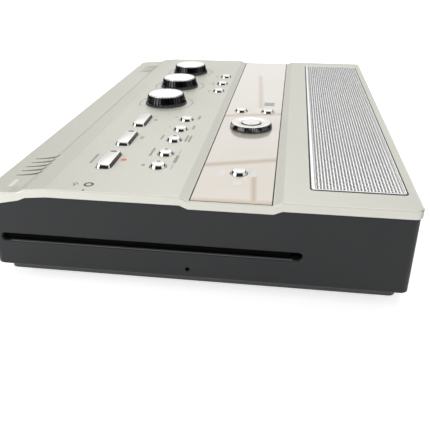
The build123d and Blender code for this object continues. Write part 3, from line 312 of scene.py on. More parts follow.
def srgb(red, green, blue):
    """A colour given as 0 to 255 on a screen, as the linear values that shaders use."""
    return tuple(
        (c / 255 / 12.92) if c / 255 <= 0.04045 else ((c / 255 + 0.055) / 1.055) ** 2.4
        for c in (red, green, blue)
    ) + (1.0,)


def finish(name, colour, other, *, rough=0.4, rough_spread=0.08, grain=900.0, height=0.05,
           tone=12.0, amount=0.5, lines=None, **plain):
    """A material with an uneven tone over a fine grain, or over drawn lines."""
    material = bpy.data.materials.new(name)
    material.use_nodes = True
    inside = material.node_tree
    shader = inside.nodes["Principled BSDF"]
    for socket, value in plain.items():
        shader.inputs[socket.replace("_", " ")].default_value = value
    shade = place_group(inside, TONE, {"Colour": srgb(*colour), "Other": srgb(*other), "Scale": tone,
                                       "Amount": amount})
    relief = place_group(inside, LINES if lines else GRAIN,
                         {"Stretch" if lines else "Scale": lines or grain, "Height": height})
    spread = inside.nodes.new("ShaderNodeMapRange")
    wire_all(inside, spread, {"Value": relief.outputs["Mask"], "To Min": rough - rough_spread,
                              "To Max": rough + rough_spread})
    wire_all(inside, shader, {"Base Color": shade.outputs["Colour"],
                              "Roughness": spread.outputs["Result"],
                              "Normal": relief.outputs["Normal"]})
    return material


def tint(material, mask, colour):
    """Mix a colour over the material's own one, as far as the mask says."""
    inside = material.node_tree
    base = inside.nodes["Principled BSDF"].inputs["Base Color"]
    wire(inside, base, colour_mix(inside, mask, base.links[0].from_socket, srgb(*colour)))


print("finish helper ready")

# %% [markdown]
# The control plate and its keys are moulded plastic under a warm silver paint with a fine flake,
# so they are only partly metallic. The case is charcoal plastic with a fine matt grain, and its
# steel pan is painted charcoal too, a shade paler as a painted reflection of the white floor.
# %% Finishes of the housing
SMOOTH = {"rough_spread": 0.02, "grain": 1500.0, "height": 0.01}
SILVER = finish("silver_paint", (196, 195, 184), (206, 205, 195), rough=0.42, Metallic=0.25,
                grain=2600.0, height=0.08, tone=9.0, amount=0.6)
CHARCOAL = finish("charcoal_plastic", (42, 43, 45), (52, 53, 54), rough=0.5, grain=2200.0,
                  height=0.12, tone=14.0, amount=0.6, Specular_IOR_Level=0.3)
# The pan's paint is paler than the case's, partly as a painted reflection of the white floor.
PAN_PAINT_AND_REFLECTION = finish("pan_paint_and_painted_floor_reflection", (66, 67, 69), (76, 77, 79), rough=0.5, grain=1500.0,
                   height=0.12, tone=14.0)
RUBBER = finish("foot_rubber", (24, 24, 24), (34, 34, 34), rough=0.8, grain=1200.0, height=0.2)
KEY_SILVER = finish("key_silver", (226, 223, 218), (236, 233, 229), rough=0.36, Metallic=0.35,
                    grain=3000.0, height=0.05, tone=40.0)
CHROME = finish("key_chrome", (214, 214, 210), (222, 222, 219), rough=0.07, Metallic=1.0, **SMOOTH)
# A darker chrome for the dial's side, as a painted dark reflection.
DIAL_PAINTED_REFLECTION = finish("dial_painted_dark_reflection", (92, 92, 92), (104, 104, 104), rough=0.1, Metallic=1.0,
                     **SMOOTH)
BLACK = finish("knob_black", (9, 9, 9), (14, 14, 14), rough=0.14, grain=1500.0, height=0.04,
               Specular_IOR_Level=0.6)
CAP_METAL = finish("cap_satin_metal", (250, 250, 250), (254, 254, 254), rough=0.34, Metallic=0.5,
                   grain=2500.0, height=0.03)
print("finishes:", len(bpy.data.materials))

# %% [markdown]
# The plate's outer rim is painted paler, as a painted highlight where its edges catch the light. A mask
# by place finds it: how far a point is from the middle, along x or y, against the half size.
# %% A painted highlight on the plate's rim
plate_half = (Vector(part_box("top_plate")[1]) - Vector(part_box("top_plate")[0])) / 2
RIM_HIGHLIGHT_BAND = 1.1 * MM


def add_rim_highlight(material, colour):
    """The paler rim colour, a painted highlight, goes over the material's own, by the distance from the
    middle.
    """
    inside = material.node_tree
    place = inside.nodes.new("ShaderNodeSeparateXYZ")
    wire(inside, place.inputs[0], own_place(inside))
    reaches = []
    for axis, half in (("X", plate_half.x), ("Y", plate_half.y)):
        reach = math_node(inside, "ABSOLUTE", place.outputs[axis])
        reaches.append(soft_step(inside, reach, half - RIM_HIGHLIGHT_BAND, half - 0.6 * RIM_HIGHLIGHT_BAND))
    tint(material, math_node(inside, "MAXIMUM", *reaches), colour)


# The plate's rim gets a paler colour as a painted highlight.
add_rim_highlight(SILVER, (240, 239, 229))
print("plate half size:", [round(v / MM, 1) for v in plate_half])

# %% [markdown]
# The strip is a clear window with a pale mirror coat behind it. A smooth coat over a satin base
# gives both: the base holds the warm beige, and the coat holds the sharp reflections. The print
# colours, the black felt, the black painted shade for the gaps and the unlit lamps are plain.
# %% Finishes of the strip, grille and print
WINDOW = finish("strip_mirror", (233, 226, 215), (218, 206, 190), rough=0.16, rough_spread=0.02,
                Metallic=0.25, grain=40.0, height=0.0, tone=22.0, amount=0.35, Coat_Weight=1.0,
                Coat_Roughness=0.03)
GRILLE = finish("grille_metal", (232, 232, 231), (242, 242, 241), rough=0.36, Metallic=0.6,
                grain=1800.0, height=0.05, tone=20.0)
HOLE_WALL = finish("grille_hole_wall", (206, 205, 207), (216, 215, 217), rough=0.6, tone=200.0)
PRINT_GREY = finish("print_grey", (128, 127, 122), (140, 139, 134), rough=0.6, tone=300.0)
PRINT_DARK = finish("print_dark", (58, 58, 58), (70, 70, 70), rough=0.5, tone=300.0)
PRINT_WHITE = finish("print_white", (250, 250, 250), (244, 244, 244), rough=0.5, tone=300.0)
PRINT_RED = finish("print_red", (250, 108, 74), (242, 96, 62), rough=0.5, tone=300.0)
SENSOR = finish("sensor_window", (160, 157, 163), (172, 169, 175), rough=0.25, tone=200.0)
# A paler grey for the slot's lower edge, as a painted highlight.
LIP_HIGHLIGHT = finish("slot_lip_painted_highlight", (96, 97, 99), (108, 109, 111), rough=0.4, tone=100.0)
# Black for the gaps round the strip and the grille, as painted shade.
GAP_SHADE = finish("gap_painted_shade", (18, 18, 18), (28, 28, 28), rough=0.7, tone=300.0)
FELT = finish("black_felt", (5, 5, 5), (9, 9, 9), rough=0.95, grain=1400.0, height=0.4,
              Specular_IOR_Level=0.1)
LED_DARK = finish("unlit_lamp", (92, 90, 88), (110, 108, 104), rough=0.2, tone=400.0)
LAMP_PALE = finish("lamp_pale", (226, 224, 214), (216, 214, 202), rough=0.2, tone=400.0)
print("finishes:", len(bpy.data.materials))

# %% [markdown]
# Soft brown bands of painted reflection lie across the strip and along it, fainter at their edges;
# they stand for the room that the strip reflects. Each one is a mask: how far a point is from the
# segment between two ends, against the band's half width. The ends and half widths are in millimetres.
# %% Painted reflections in the strip
REFLECTION_BANDS = [((22, 0), (12, 41), 6.0), ((121, 0), (108, 41), 5.5), ((171, 0), (170, 41), 7.0),
         ((136, 29), (166, 31), 2.6), ((-112, 17), (-4, 24.5), 3.6)]


def make_reflection_band_group():
    """1 on the segment from Start along Way, which falls softly to 0 at Width from it."""
    group, given, result = new_group(
        "painted_reflection_band", {"Start": (0.0, 0.0, 0.0), "Way": (0.0, 0.1, 0.0), "Width": 0.002},
        {"Mask": "Float"})
    way = given.outputs["Way"]
    flat = vector_node(group, "MULTIPLY", own_place(group), (1.0, 1.0, 0.0)).outputs["Vector"]
    from_start = vector_node(group, "SUBTRACT", flat, given.outputs["Start"]).outputs["Vector"]
    reached = vector_node(group, "DOT_PRODUCT", from_start, way).outputs["Value"]
    whole = vector_node(group, "DOT_PRODUCT", way, way).outputs["Value"]
    nearest = vector_node(group, "SCALE", way)
    wire(group, nearest.inputs["Scale"], math_node(group, "DIVIDE", reached, whole, clamp=True))
    gap = vector_node(group, "DISTANCE", from_start, nearest.outputs["Vector"]).outputs["Value"]
    fade = soft_step(group, gap, 0.0, given.outputs["Width"], 1.0, 0.0)
    wire(group, result.inputs["Mask"], fade)
    return group


def add_painted_reflections(material, colour, strength):
    """The colour of the painted reflections goes over the material's own, inside the bands."""
    inside = material.node_tree
    group = make_reflection_band_group()
    total = 0.0
    for start, end, width in REFLECTION_BANDS:
        foot, tip = Vector((*start, 0)) * MM, Vector((*end, 0)) * MM
        node = place_group(inside, group, {"Start": foot, "Way": tip - foot, "Width": width * MM})
        total = math_node(inside, "MAXIMUM", total, node.outputs["Mask"])
    tint(material, math_node(inside, "MULTIPLY", total, strength), colour)


# The brown bands are painted reflections over the strip's colour.
add_painted_reflections(WINDOW, (190, 166, 136), 0.85)
print("bands in the strip:", len(REFLECTION_BANDS))

# %% [markdown]
# What the case holds shows only through its slot, grille and sockets, in shade. These finishes
# are plain and kept dark, partly as painted shade: black plastic, steel painted dark, board green,
# plated brass.
# %% Finishes of the inside
# The drive's steel is painted dark, as painted shade inside the case.
SHADED_STEEL = finish("drive_steel", (40, 40, 42), (50, 50, 52), rough=0.4, Metallic=0.6,
               lines=(30.0, 2500.0, 2500.0), height=0.05)
INNER_BLACK = finish("inner_black", (16, 16, 17), (24, 24, 25), rough=0.6, grain=900.0)
BOARD = finish("board_green", (24, 62, 38), (30, 74, 46), rough=0.35, grain=700.0)
PLATED = finish("plated_brass", (206, 178, 104), (218, 192, 122), rough=0.25, Metallic=1.0,
                grain=900.0, height=0.02)
BRIGHT_STEEL = finish("bright_steel", (170, 170, 170), (184, 184, 184), rough=0.28, Metallic=1.0,
                      lines=(2500.0, 2500.0, 40.0), height=0.04)
CONE = finish("cone_paper", (26, 26, 27), (36, 36, 37), rough=0.85, grain=500.0, height=0.3)
print("finishes:", len(bpy.data.materials))

# %% [markdown]
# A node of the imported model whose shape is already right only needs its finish. Its material
# slots are emptied and the new one put in.
# %% Dress the nodes that stay
NODE_FINISHES = {
    SILVER: ["top_plate"],
    CHARCOAL: ["side_case", "socket_bay"],
    PAN_PAINT_AND_REFLECTION: ["bottom_pan"],
    RUBBER: ["rubber_feet", "loading_roller"],
    WINDOW: ["display_strip"],
    SHADED_STEEL: ["drive_tray", "drive_cover", "spindle_motor", "speaker_baskets", "potentiometers"],
    INNER_BLACK: ["drive_rails", "spindle_hub", "pickup_sled", "speaker_baffle", "mic_capsules",
                  "dial_encoder", "push_switches", "power_switch", "display_module", "power_button",
                  "phones_sockets", "mic_sockets", "supply_inlet"],
    BOARD: ["control_board", "main_board"],
    PLATED: ["line_sockets"],
    BRIGHT_STEEL: ["guide_rods", "case_screws", "speaker_volume_shaft", "line_level_shaft",
                   "mic_level_shaft"],
    CONE: ["speaker_cones"],
    LAMP_PALE: ["power_lamp"],
}
for material, names in NODE_FINISHES.items():
    for name in names:
        nodes[name].data.materials.clear()
        nodes[name].data.materials.append(material)
print("dressed nodes:", sum(len(names) for names in NODE_FINISHES.values()))

# %% [markdown]
# New pieces are made as by hand: a primitive is added, shaped in edit mode, and given its place.
# An operator acts on all that is selected, so a helper first clears the selection, and another
# one picks faces or edges by where they are.
# %% Selecting and editing


def clear():
    """Nothing is selected."""
    bpy.ops.object.select_all(action="DESELECT")


def only(piece):
    """Only this piece is selected, and it is the active one."""
    clear()
    piece.select_set(True)
    bpy.context.view_layer.objects.active = piece


def edit(piece):
    """Only this piece is selected, and its mesh is open for editing."""
    only(piece)
    bpy.ops.object.mode_set(mode="EDIT")


def select_all():
    """All of the open mesh is selected."""
    bpy.ops.mesh.select_all(action="SELECT")


def close_edit():
    """Back to whole objects."""
    bpy.ops.object.mode_set(mode="OBJECT")


def close_outwards():
    """All faces of the open mesh are turned outwards, and it is closed for editing."""
    select_all()
    bpy.ops.mesh.normals_make_consistent(inside=False)
    close_edit()


def pick(piece, kind, test):
    """Select the faces or edges whose middle, in the piece's own axes, passes the test."""
    bpy.ops.mesh.select_mode(type=kind)
    bpy.ops.mesh.select_all(action="DESELECT")
    mesh = bmesh.from_edit_mesh(piece.data)
    for item in mesh.faces if kind == "FACE" else mesh.edges:
        middle = sum((v.co for v in item.verts), Vector()) / len(item.verts)
        if test(middle, item):
            item.select_set(True)
    mesh.select_flush_mode()
    bmesh.update_edit_mesh(piece.data)


print("selecting helpers ready")

# %% Shaping and settling


def named(name):
    """The object that was just added, under its own name."""
    piece = bpy.context.active_object
    piece.name = name
    piece.data.name = name
    return piece


def extrude(height):
    """Extrude what is selected, straight up or down."""
    bpy.ops.mesh.extrude_region_move(TRANSFORM_OT_translate={"value": (0, 0, height)})


def scale_about(centre, x, y):
    """What is selected is scaled along x and y, from a centre."""
    bpy.ops.transform.resize(value=(x, y, 1), center_override=centre)


def settle(piece):
    """The piece's place goes into its mesh, and its object goes to the origin."""
    only(piece)
    bpy.ops.object.transform_apply(location=True, rotation=True, scale=True)
    return piece


def smooth(piece, degrees=35):
    """Round faces shade smoothly, and edges sharper than this stay crisp."""
    only(piece)
    bpy.ops.object.shade_smooth_by_angle(angle=math.radians(degrees))
    return piece


def copy_of(source, name, shift):
    """A copy with its own mesh, moved by a shift."""
    piece = source.copy()
    piece.data = source.data.copy()
    piece.name = name
    piece.data.name = name
    piece.data.transform(Matrix.Translation(shift))
    scene.collection.objects.link(piece)
    return piece


def join(pieces, name):
    """Several meshes as one piece."""
    clear()
    for piece in pieces:
        piece.select_set(True)
    bpy.context.view_layer.objects.active = pieces[0]
    bpy.ops.object.join()
    return named(name)


print("shaping helpers ready")

# %% Dressing and handing over


def dress(piece, main, side=None, rule=None):
    """One finish all over, or a second one on the faces that the rule names."""
    piece.data.materials.clear()
    piece.data.materials.append(main)
    if side:
        piece.data.materials.append(side)
        for face in piece.data.polygons:
            face.material_index = 1 if rule(face) else 0


def hand_over(piece, body, slot, *replaced):
    """The piece rides on its body, and the nodes that it stands for are hidden. The slot is not used.
    """
    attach(piece, body)
    if replaced:
        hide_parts(*replaced)


def on_cabinet(piece, material, slot):
    """A small fixed part gets its finish and rides on the cabinet. The slot is passed on but not used.
    """
    dress(piece, material)
    hand_over(piece, "cabinet", slot)


print("dressing helpers ready")

# %% Heights of the plate and the strip


def top_of(node):
    """The middle of a node's top, in metres."""
    low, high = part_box(node)
    return Vector(((low[0] + high[0]) / 2, (low[1] + high[1]) / 2, high[2]))


plate_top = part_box("speaker_grille")[1][2] - 0.5 * MM
strip_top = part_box("display_strip")[1][2]
print("plate top at", round(plate_top / MM, 2), "mm, strip top at", round(strip_top / MM, 2), "mm")

# %% [markdown]
# Every key is raised in the same way: a foot as deep as its hole in the plate is drawn up to the
# key's full height. Its sides lean inwards, because plated sides that lean show the bright ceiling
# and the dark horizon of the room, and its top edge is rounded with a bevel.
# %% Raising a key
KEY_LEAN = 1.2 * MM
BAR_SIDE_LEAN = 0.6 * MM
FOOT = 1.5 * MM
TOP_ROUND = 0.3 * MM
LENS_SINK = 0.02 * MM


def raise_top(piece, centre, rise, reach, side_lean=KEY_LEAN):
    """Draw the top face up to the key's full height, leaning inwards, and round its edge."""
    pick(piece, "FACE", lambda place, face: face.normal.z > 0.9)
    extrude(rise)
    scale_about(centre, 1 - KEY_LEAN / reach[0], 1 - side_lean / reach[1])
    pick(piece, "FACE", lambda place, face: face.normal.z > 0.99)
    bpy.ops.mesh.bevel(offset=TOP_ROUND, segments=3, affect="EDGES")


def is_side(face):
    """Whether a face of a raised key belongs to its plated side."""
    return face.normal.z < 0.93


def add_lens(key, node, ahead, radius, stretch):
    """A key with the small dark lens of an unlit lamp in its top, so far ahead of its middle."""
    place = top_of(node) - Vector((ahead, 0, 0))
    clear()
    bpy.ops.mesh.primitive_cylinder_add(vertices=24, radius=radius, depth=0.3 * MM,
                                        location=(place.x, place.y, place.z - 0.1 * MM))
    lens = named(node + "_lens")
    edit(lens)
    pick(lens, "FACE", lambda middle, face: face.normal.z > 0.9)
    bpy.ops.mesh.inset(thickness=radius * 0.3, depth=-LENS_SINK)
    select_all()
    scale_about(place, 1, stretch)
    close_edit()
    dress(lens, LED_DARK)
    return join([key, settle(lens)], node + "_key")


print("key sides lean", round(KEY_LEAN / MM, 1), "mm")

# %% [markdown]
# The long transport keys are slabs with round corners. Their ends are plated, and their long sides
# are black as painted shade of the gap along them. A block is stretched to size, its upright edges
# are bevelled into corners, and its top is raised. Two of the three carry a lamp near their far end.
# %% Transport keys
KEY_FLANGE = 1 * MM
BAR_CORNER = 2.8 * MM
BAR_LENS = {"ahead": 9.6 * MM, "radius": 1.3 * MM, "stretch": 1.7}


def bar_key(name, node):
    """One long key over its node, from just under the plate to its top."""
    low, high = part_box(node)
    middle = top_of(node)
    length = high[0] - low[0] - 2 * KEY_FLANGE
    width = high[1] - low[1] - 2 * KEY_FLANGE
    clear()
    bpy.ops.mesh.primitive_cube_add(size=1, location=(middle.x, middle.y, plate_top - FOOT / 2))
    key = named(name)
    edit(key)
    bpy.ops.transform.resize(value=(length, width, FOOT))
    pick(key, "EDGE", lambda place, edge: abs(place.z) < FOOT / 4)
    bpy.ops.mesh.bevel(offset=BAR_CORNER, segments=9, affect="EDGES")
    raise_top(key, middle, middle.z - plate_top, (length / 2, width / 2), BAR_SIDE_LEAN)
    close_edit()
    smooth(settle(key))
    dress(key, KEY_SILVER, CHROME, is_side)
    # The long sides take the black finish as painted shade of the gap along them.
    key.data.materials.append(BLACK)
    for face in key.data.polygons:
        if abs(face.normal.y) > 0.75:
            face.material_index = 2
    return key


for node, has_lens in (("record_button", True), ("play_button", True), ("stop_button", False)):
    key = bar_key(node + "_key", node)
    if has_lens:
        key = add_lens(key, node, **BAR_LENS)
    hand_over(key, node, "button_silver", node)
print("transport keys:", len(key.data.polygons), "faces on the last")

# %% [markdown]
# The round keys are turned shapes: a bright side and a soft bevel round a satin top. One is made
# from a cylinder and copied. The first three carry a tiny lamp near their far edge.
# %% Round keys
ROUND_KEYS = ["repeat_button", "rewind_button", "tempo_button", "key_button", "tuner_button",
              "reverb_button", "effects_button", "metronome_button", "menu_button",
              "display_button", "source_button"]
LIT_KEYS = ROUND_KEYS[:3]
KEY_RADIUS = 4.9 * MM
ROUND_LENS = {"ahead": 2.4 * MM, "radius": 0.8 * MM, "stretch": 1.5}


def round_key(name, middle, rise):
    """A round key whose top is at the given middle."""
    clear()
    bpy.ops.mesh.primitive_cylinder_add(vertices=64, radius=KEY_RADIUS, depth=FOOT,
                                        location=(middle.x, middle.y, middle.z - rise - FOOT / 2))
    key = named(name)
    edit(key)
    raise_top(key, middle, rise, (KEY_RADIUS, KEY_RADIUS))
    close_edit()
    smooth(settle(key))
    dress(key, KEY_SILVER, CHROME, is_side)
    return key


first_top = top_of(ROUND_KEYS[0])
first_key = round_key(ROUND_KEYS[0] + "_key", first_top, first_top.z - plate_top)
for node in ROUND_KEYS[1:]:
    copy_of(first_key, node + "_key", top_of(node) - first_top)
for node in ROUND_KEYS:
    key = bpy.data.objects[node + "_key"]
    if node in LIT_KEYS:
        key = add_lens(key, node, **ROUND_LENS)
    hand_over(key, node, "button_silver", node)
print("round keys:", len(ROUND_KEYS))

# %% [markdown]
# A knob has a black ribbed skirt and a pale metal cap. Each starts as a ring of points with four
# to a rib, and is drawn up in steps that lean inwards. The points between ribs are then pulled
# towards the axis, which leaves upright grooves. A step is a share of the height and of the radius,
# and a groove is a share of the radius.
# %% Steps and ribs of a knob
RIBS = 36
SKIRT_STEPS = [(0.12, 0.985), (0.33, 0.945), (0.58, 0.91), (0.92, 0.885), (1.0, 0.865)]
CAP_STEPS = [(0.25, 1.0), (0.6, 0.975), (0.88, 0.945), (1.0, 0.90), (0.97, 0.72)]
SKIRT_GROOVES = 0.915
CAP_GROOVES = 0.945


def draw_up(steps, height, centre):
    """Extrude a selected ring up through (share of height, share of radius) steps."""
    level, share = 0.0, 1.0
    for next_level, next_share in steps:
        extrude((next_level - level) * height)
        scale_about(centre, next_share / share, next_share / share)
        level, share = next_level, next_share


def pull_in(piece, centre, ribs, share, test):
    """Two points in four round the axis go inwards where the test holds, which leaves ribs."""
    mesh = bmesh.from_edit_mesh(piece.data)
    for vertex in mesh.verts:
        angle = math.atan2(vertex.co.y, vertex.co.x) % (2 * math.pi)
        place = round(angle / (2 * math.pi) * 4 * ribs) % 4
        vertex.select_set(place in (0, 1) and test(vertex.co))
    mesh.select_flush_mode()
    bmesh.update_edit_mesh(piece.data)
    scale_about(centre, share, share)


print("ribs on a knob:", RIBS)

# %% Turned skirts and caps


def turned(name, node, steps, above, share, material, angle):
    """A turned shape over its node: a ring drawn up through its steps, then ribbed."""
    low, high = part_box(node)
    centre = ((low[0] + high[0]) / 2, (low[1] + high[1]) / 2, low[2])
    clear()
    bpy.ops.mesh.primitive_circle_add(vertices=4 * RIBS, radius=(high[0] - low[0]) / 2,
                                      location=centre, fill_type="NGON")
    piece = named(name)
    edit(piece)
    select_all()
    draw_up(steps, high[2] - low[2], centre)
    pull_in(piece, centre, RIBS, share, lambda place: place.z > above)
    close_outwards()
    dress(piece, material)
    return smooth(settle(piece), angle)


KNOBS = ("speaker_volume", "line_level", "mic_level")
for knob in KNOBS:
    skirt = turned(knob + "_knob_skirt", knob + "_skirt", SKIRT_STEPS, 0.5 * MM, SKIRT_GROOVES,
                   BLACK, 50)
    hand_over(skirt, knob + "_knob", "knob_black", knob + "_skirt")
    cap = turned(knob + "_knob_cap", knob + "_cap", CAP_STEPS, -MM, CAP_GROOVES, CAP_METAL,
                 40)
    hand_over(cap, knob + "_knob", "knob_cap", knob + "_cap")
print("knobs:", len(KNOBS), "skirt faces", len(skirt.data.polygons))

# %% [markdown]
# The value dial is a bright ring that turns round a key of its own. The ring is drawn up from a
# circle through its outer profile, over its edge, and down into the gap round the key. Its side
# has fine grooves, made as the knob's ribs are, and is a darker chrome as a painted dark reflection.
# The profile's heights and radii are in millimetres.
# %% Value dial
DIAL_TEETH = 60
DIAL_GAP = 0.3 * MM
DIAL_FOOT = 14.2 * MM
DIAL_LEAN = 0.42
DIAL_GROOVES = 0.975
dial_low, dial_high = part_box("value_dial")
dial_centre = Vector(((dial_low[0] + dial_high[0]) / 2, (dial_low[1] + dial_high[1]) / 2,
                      strip_top + DIAL_GAP))
dial_height = (dial_high[2] - dial_centre.z) / MM
shoulder = 14.65 - DIAL_LEAN * (dial_height - 1.6)
DIAL_PROFILE = [
    (0.3, 14.7), (1.15, 14.7), (1.25, 14.65), (dial_height - 0.35, shoulder),
    (dial_height - 0.08, shoulder - 0.2), (dial_height, shoulder - 0.6), (dial_height - 0.1, 11.0),
    (dial_height - 0.3, 8.2), (dial_height - 0.6, 7.5), (dial_height - 1.3, 6.9), (0.0, 6.75),
]


def dial_ring(name):
    """The turning ring of the dial: a tube drawn through its profile of (height, radius)."""
    clear()
    bpy.ops.mesh.primitive_circle_add(vertices=4 * DIAL_TEETH, radius=DIAL_FOOT,
                                      location=dial_centre, fill_type="NOTHING")
    ring = named(name)
    edit(ring)
    select_all()
    height, radius = 0, DIAL_FOOT / MM
    for next_height, next_radius in DIAL_PROFILE:
        bpy.ops.mesh.extrude_edges_move(
            TRANSFORM_OT_translate={"value": (0, 0, (next_height - height) * MM)})
        scale_about(dial_centre, next_radius / radius, next_radius / radius)
        height, radius = next_height, next_radius
    pick(ring, "EDGE", lambda place, edge: len(edge.link_faces) == 1)
    bpy.ops.mesh.bridge_edge_loops()
    pull_in(ring, dial_centre, DIAL_TEETH, DIAL_GROOVES,
            lambda place: 0.2 * MM < place.z < (dial_height - 0.3) * MM
            and place.xy.length > (shoulder - 0.1) * MM)
    close_outwards()
    smooth(settle(ring), 30)
    # The ring's side takes the darker chrome, a painted dark reflection.
    dress(ring, KEY_SILVER, DIAL_PAINTED_REFLECTION, lambda face: face.normal.z < 0.5)
    return ring


ring = dial_ring("dial_ring")
hand_over(ring, "value_dial", "dial_silver", "value_dial")
print("dial:", len(ring.data.polygons), "faces")

# %% The key in the dial
ENTER_RADIUS = 6.3 * MM
ENTER_HEIGHT = 3.2 * MM
enter_top = top_of("enter_button")
clear()
bpy.ops.mesh.primitive_cylinder_add(vertices=64, radius=ENTER_RADIUS, depth=ENTER_HEIGHT,
                                    location=enter_top - Vector((0, 0, ENTER_HEIGHT / 2)))
enter_key = named("enter_button_key")
edit(enter_key)
pick(enter_key, "EDGE", lambda place, edge: place.z > ENTER_HEIGHT / 2 - 1e-6)
bpy.ops.mesh.bevel(offset=0.5 * MM, segments=3, affect="EDGES")
pick(enter_key, "FACE", lambda middle, face: face.normal.z > 0.99)
bpy.ops.mesh.inset(thickness=1.6 * MM, depth=-0.12 * MM)
close_edit()
smooth(settle(enter_key), 40)
# The key's side takes the black finish as painted shade of the gap round it.
dress(enter_key, KEY_SILVER, BLACK, lambda face: face.normal.z < 0.7)
hand_over(enter_key, "enter_button", "button_silver", "enter_button")
print("key in the dial:", len(enter_key.data.polygons), "faces")

# %% [markdown]
# The speaker grille is a sheet with thousands of holes in a staggered pattern, inside a rolled
# rim. The holes of a row nearly touch, so that the rows read as lines. One hole in its six-sided
# cell is modelled: the cell is bridged to the hole above and below, and the hole gets its wall.
# %% One hole of the grille
HOLE_PITCH = 1.8 * MM
ROW_PITCH = 1.73 * MM
HOLE_RADIUS = 0.74 * MM
HOLE_STRETCH = 1.12
SHEET = 0.34 * MM


def hole_cell(name, place):
    """One hole through the sheet in its six-sided cell."""
    clear()
    bpy.ops.mesh.primitive_circle_add(vertices=6, radius=HOLE_PITCH / math.sqrt(3), location=place)
    outer = named(name)
    edit(outer)
    select_all()
    stretch = ROW_PITCH / (HOLE_PITCH * math.sqrt(3) / 2)
    scale_about(place, 1, stretch)
    close_edit()
    clear()
    bpy.ops.mesh.primitive_circle_add(vertices=8, radius=HOLE_RADIUS, location=place)
    hole = named("hole_ring")
    hole.data.transform(Matrix.Diagonal((HOLE_STRETCH, 1, 1, 1)))
    cell = join([outer, hole], name)
    edit(cell)
    select_all()
    bpy.ops.mesh.bridge_edge_loops()
    close_outwards()
    if cell.data.polygons[0].normal.z < 0:
        cell.data.flip_normals()
    edit(cell)
    select_all()
    bpy.ops.mesh.duplicate_move(TRANSFORM_OT_translate={"value": (0, 0, -SHEET)})
    bpy.ops.mesh.flip_normals()
    hole_reach = 1.05 * HOLE_RADIUS * HOLE_STRETCH
    pick(cell, "EDGE", lambda middle, edge: max(v.co.xy.length for v in edge.verts) < hole_reach)
    bpy.ops.mesh.bridge_edge_loops()
    close_edit()
    return settle(cell)


print("hole pitch", round(HOLE_PITCH / MM, 2), "mm, row pitch", round(ROW_PITCH / MM, 2), "mm")

# %% [markdown]
# Two array modifiers repeat the hole along a row and over every second row, and a shifted copy
# fills the rows between. The sheet then gets as many columns and rows as the rim leaves room for.
# %% Perforated sheet
FRONT_RIM = 1.9 * MM
SIDE_RIM = 0.75 * MM
SIDE_LAP = 0.2 * MM
SHEET_SUNK = 0.12 * MM
grille_low, grille_high = (Vector(corner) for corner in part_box("speaker_grille"))
grille_middle = (grille_low + grille_high) / 2
grille_size = grille_high - grille_low
columns = int((grille_size.x - 2 * SIDE_RIM + 2 * SIDE_LAP) / HOLE_PITCH)
row_pairs = round((grille_size.y - FRONT_RIM - SIDE_RIM) / (2 * ROW_PITCH))
sheet_middle = grille_middle.y + (FRONT_RIM - SIDE_RIM) / 2
first_hole = Vector((grille_middle.x - (columns - 0.5) * HOLE_PITCH / 2,
                     sheet_middle - (row_pairs * 2 - 1) * ROW_PITCH / 2,
                     grille_high.z - SHEET_SUNK))
first_rows = hole_cell("grille_sheet", first_hole)
for step, count in (((HOLE_PITCH, 0, 0), columns), ((0, 2 * ROW_PITCH, 0), row_pairs)):
    only(first_rows)
    array = first_rows.modifiers.new("repeat", "ARRAY")
    array.use_relative_offset = False
    array.use_constant_offset = True
    array.constant_offset_displace = step
    array.count = count
    bpy.ops.object.modifier_apply(modifier=array.name)
rows_between = copy_of(first_rows, "grille_between", (HOLE_PITCH / 2, ROW_PITCH, 0))
grille_sheet = join([first_rows, rows_between], "grille_sheet")
edit(grille_sheet)
select_all()
bpy.ops.mesh.remove_doubles(threshold=0.01 * MM)
close_edit()
print("grille holes:", 2 * columns * row_pairs, "faces", len(grille_sheet.data.polygons))

# %% [markdown]
# The rim is rolled from the same sheet. A plane is cut to size, its corners are rounded, an
# inset leaves only a frame, and that is extruded downwards. Its upper edges are bevelled, which
# gives the bright line that the real one shows along its front side. Hole walls are duller than
# the sheet, and a rule by place finds them.
# %% Grille rim


def flat_frame(name, middle, size, corner, width, depth, front_extra=0.0):
    """A flat frame with round corners, its top at the given middle, and its front bar wider."""
    clear()
    bpy.ops.mesh.primitive_plane_add(size=1, location=middle)
    piece = named(name)
    edit(piece)
    bpy.ops.transform.resize(value=(size[0], size[1], 1))
    select_all()
    bpy.ops.mesh.bevel(offset=corner, segments=6, affect="VERTICES")
    pick(piece, "FACE", lambda place, face: True)
    bpy.ops.mesh.inset(thickness=width)
    mesh = bmesh.from_edit_mesh(piece.data)
    for vertex in [v for face in mesh.faces if face.select for v in face.verts]:
        if vertex.co.y < 0:
            vertex.co.y += front_extra
    bmesh.update_edit_mesh(piece.data)
    bpy.ops.mesh.delete(type="FACE")
    select_all()
    extrude(-depth)
    close_outwards()
    return piece


rim = flat_frame("grille_rim", (grille_middle.x, grille_middle.y, grille_high.z), grille_size,
                 2.0 * MM, SIDE_RIM, grille_size.z, FRONT_RIM - SIDE_RIM)
edit(rim)
pick(rim, "EDGE",
     lambda place, edge: place.z > -1e-6 and any(f.normal.z < 0.5 for f in edge.link_faces))
bpy.ops.mesh.bevel(offset=0.3 * MM, segments=3, affect="EDGES")
close_edit()
settle(rim)
print("rim:", len(rim.data.polygons), "faces")

# %% Sheet and rim as one piece
INSIDE = SIDE_RIM + SIDE_LAP


def in_hole(face):
    """Whether a face of the grille is the wall of a hole."""
    return (abs(face.normal.z) < 0.3
            and abs(face.center.x - grille_middle.x) < grille_size.x / 2 - INSIDE
            and abs(face.center.y - grille_middle.y) < grille_size.y / 2 - INSIDE)


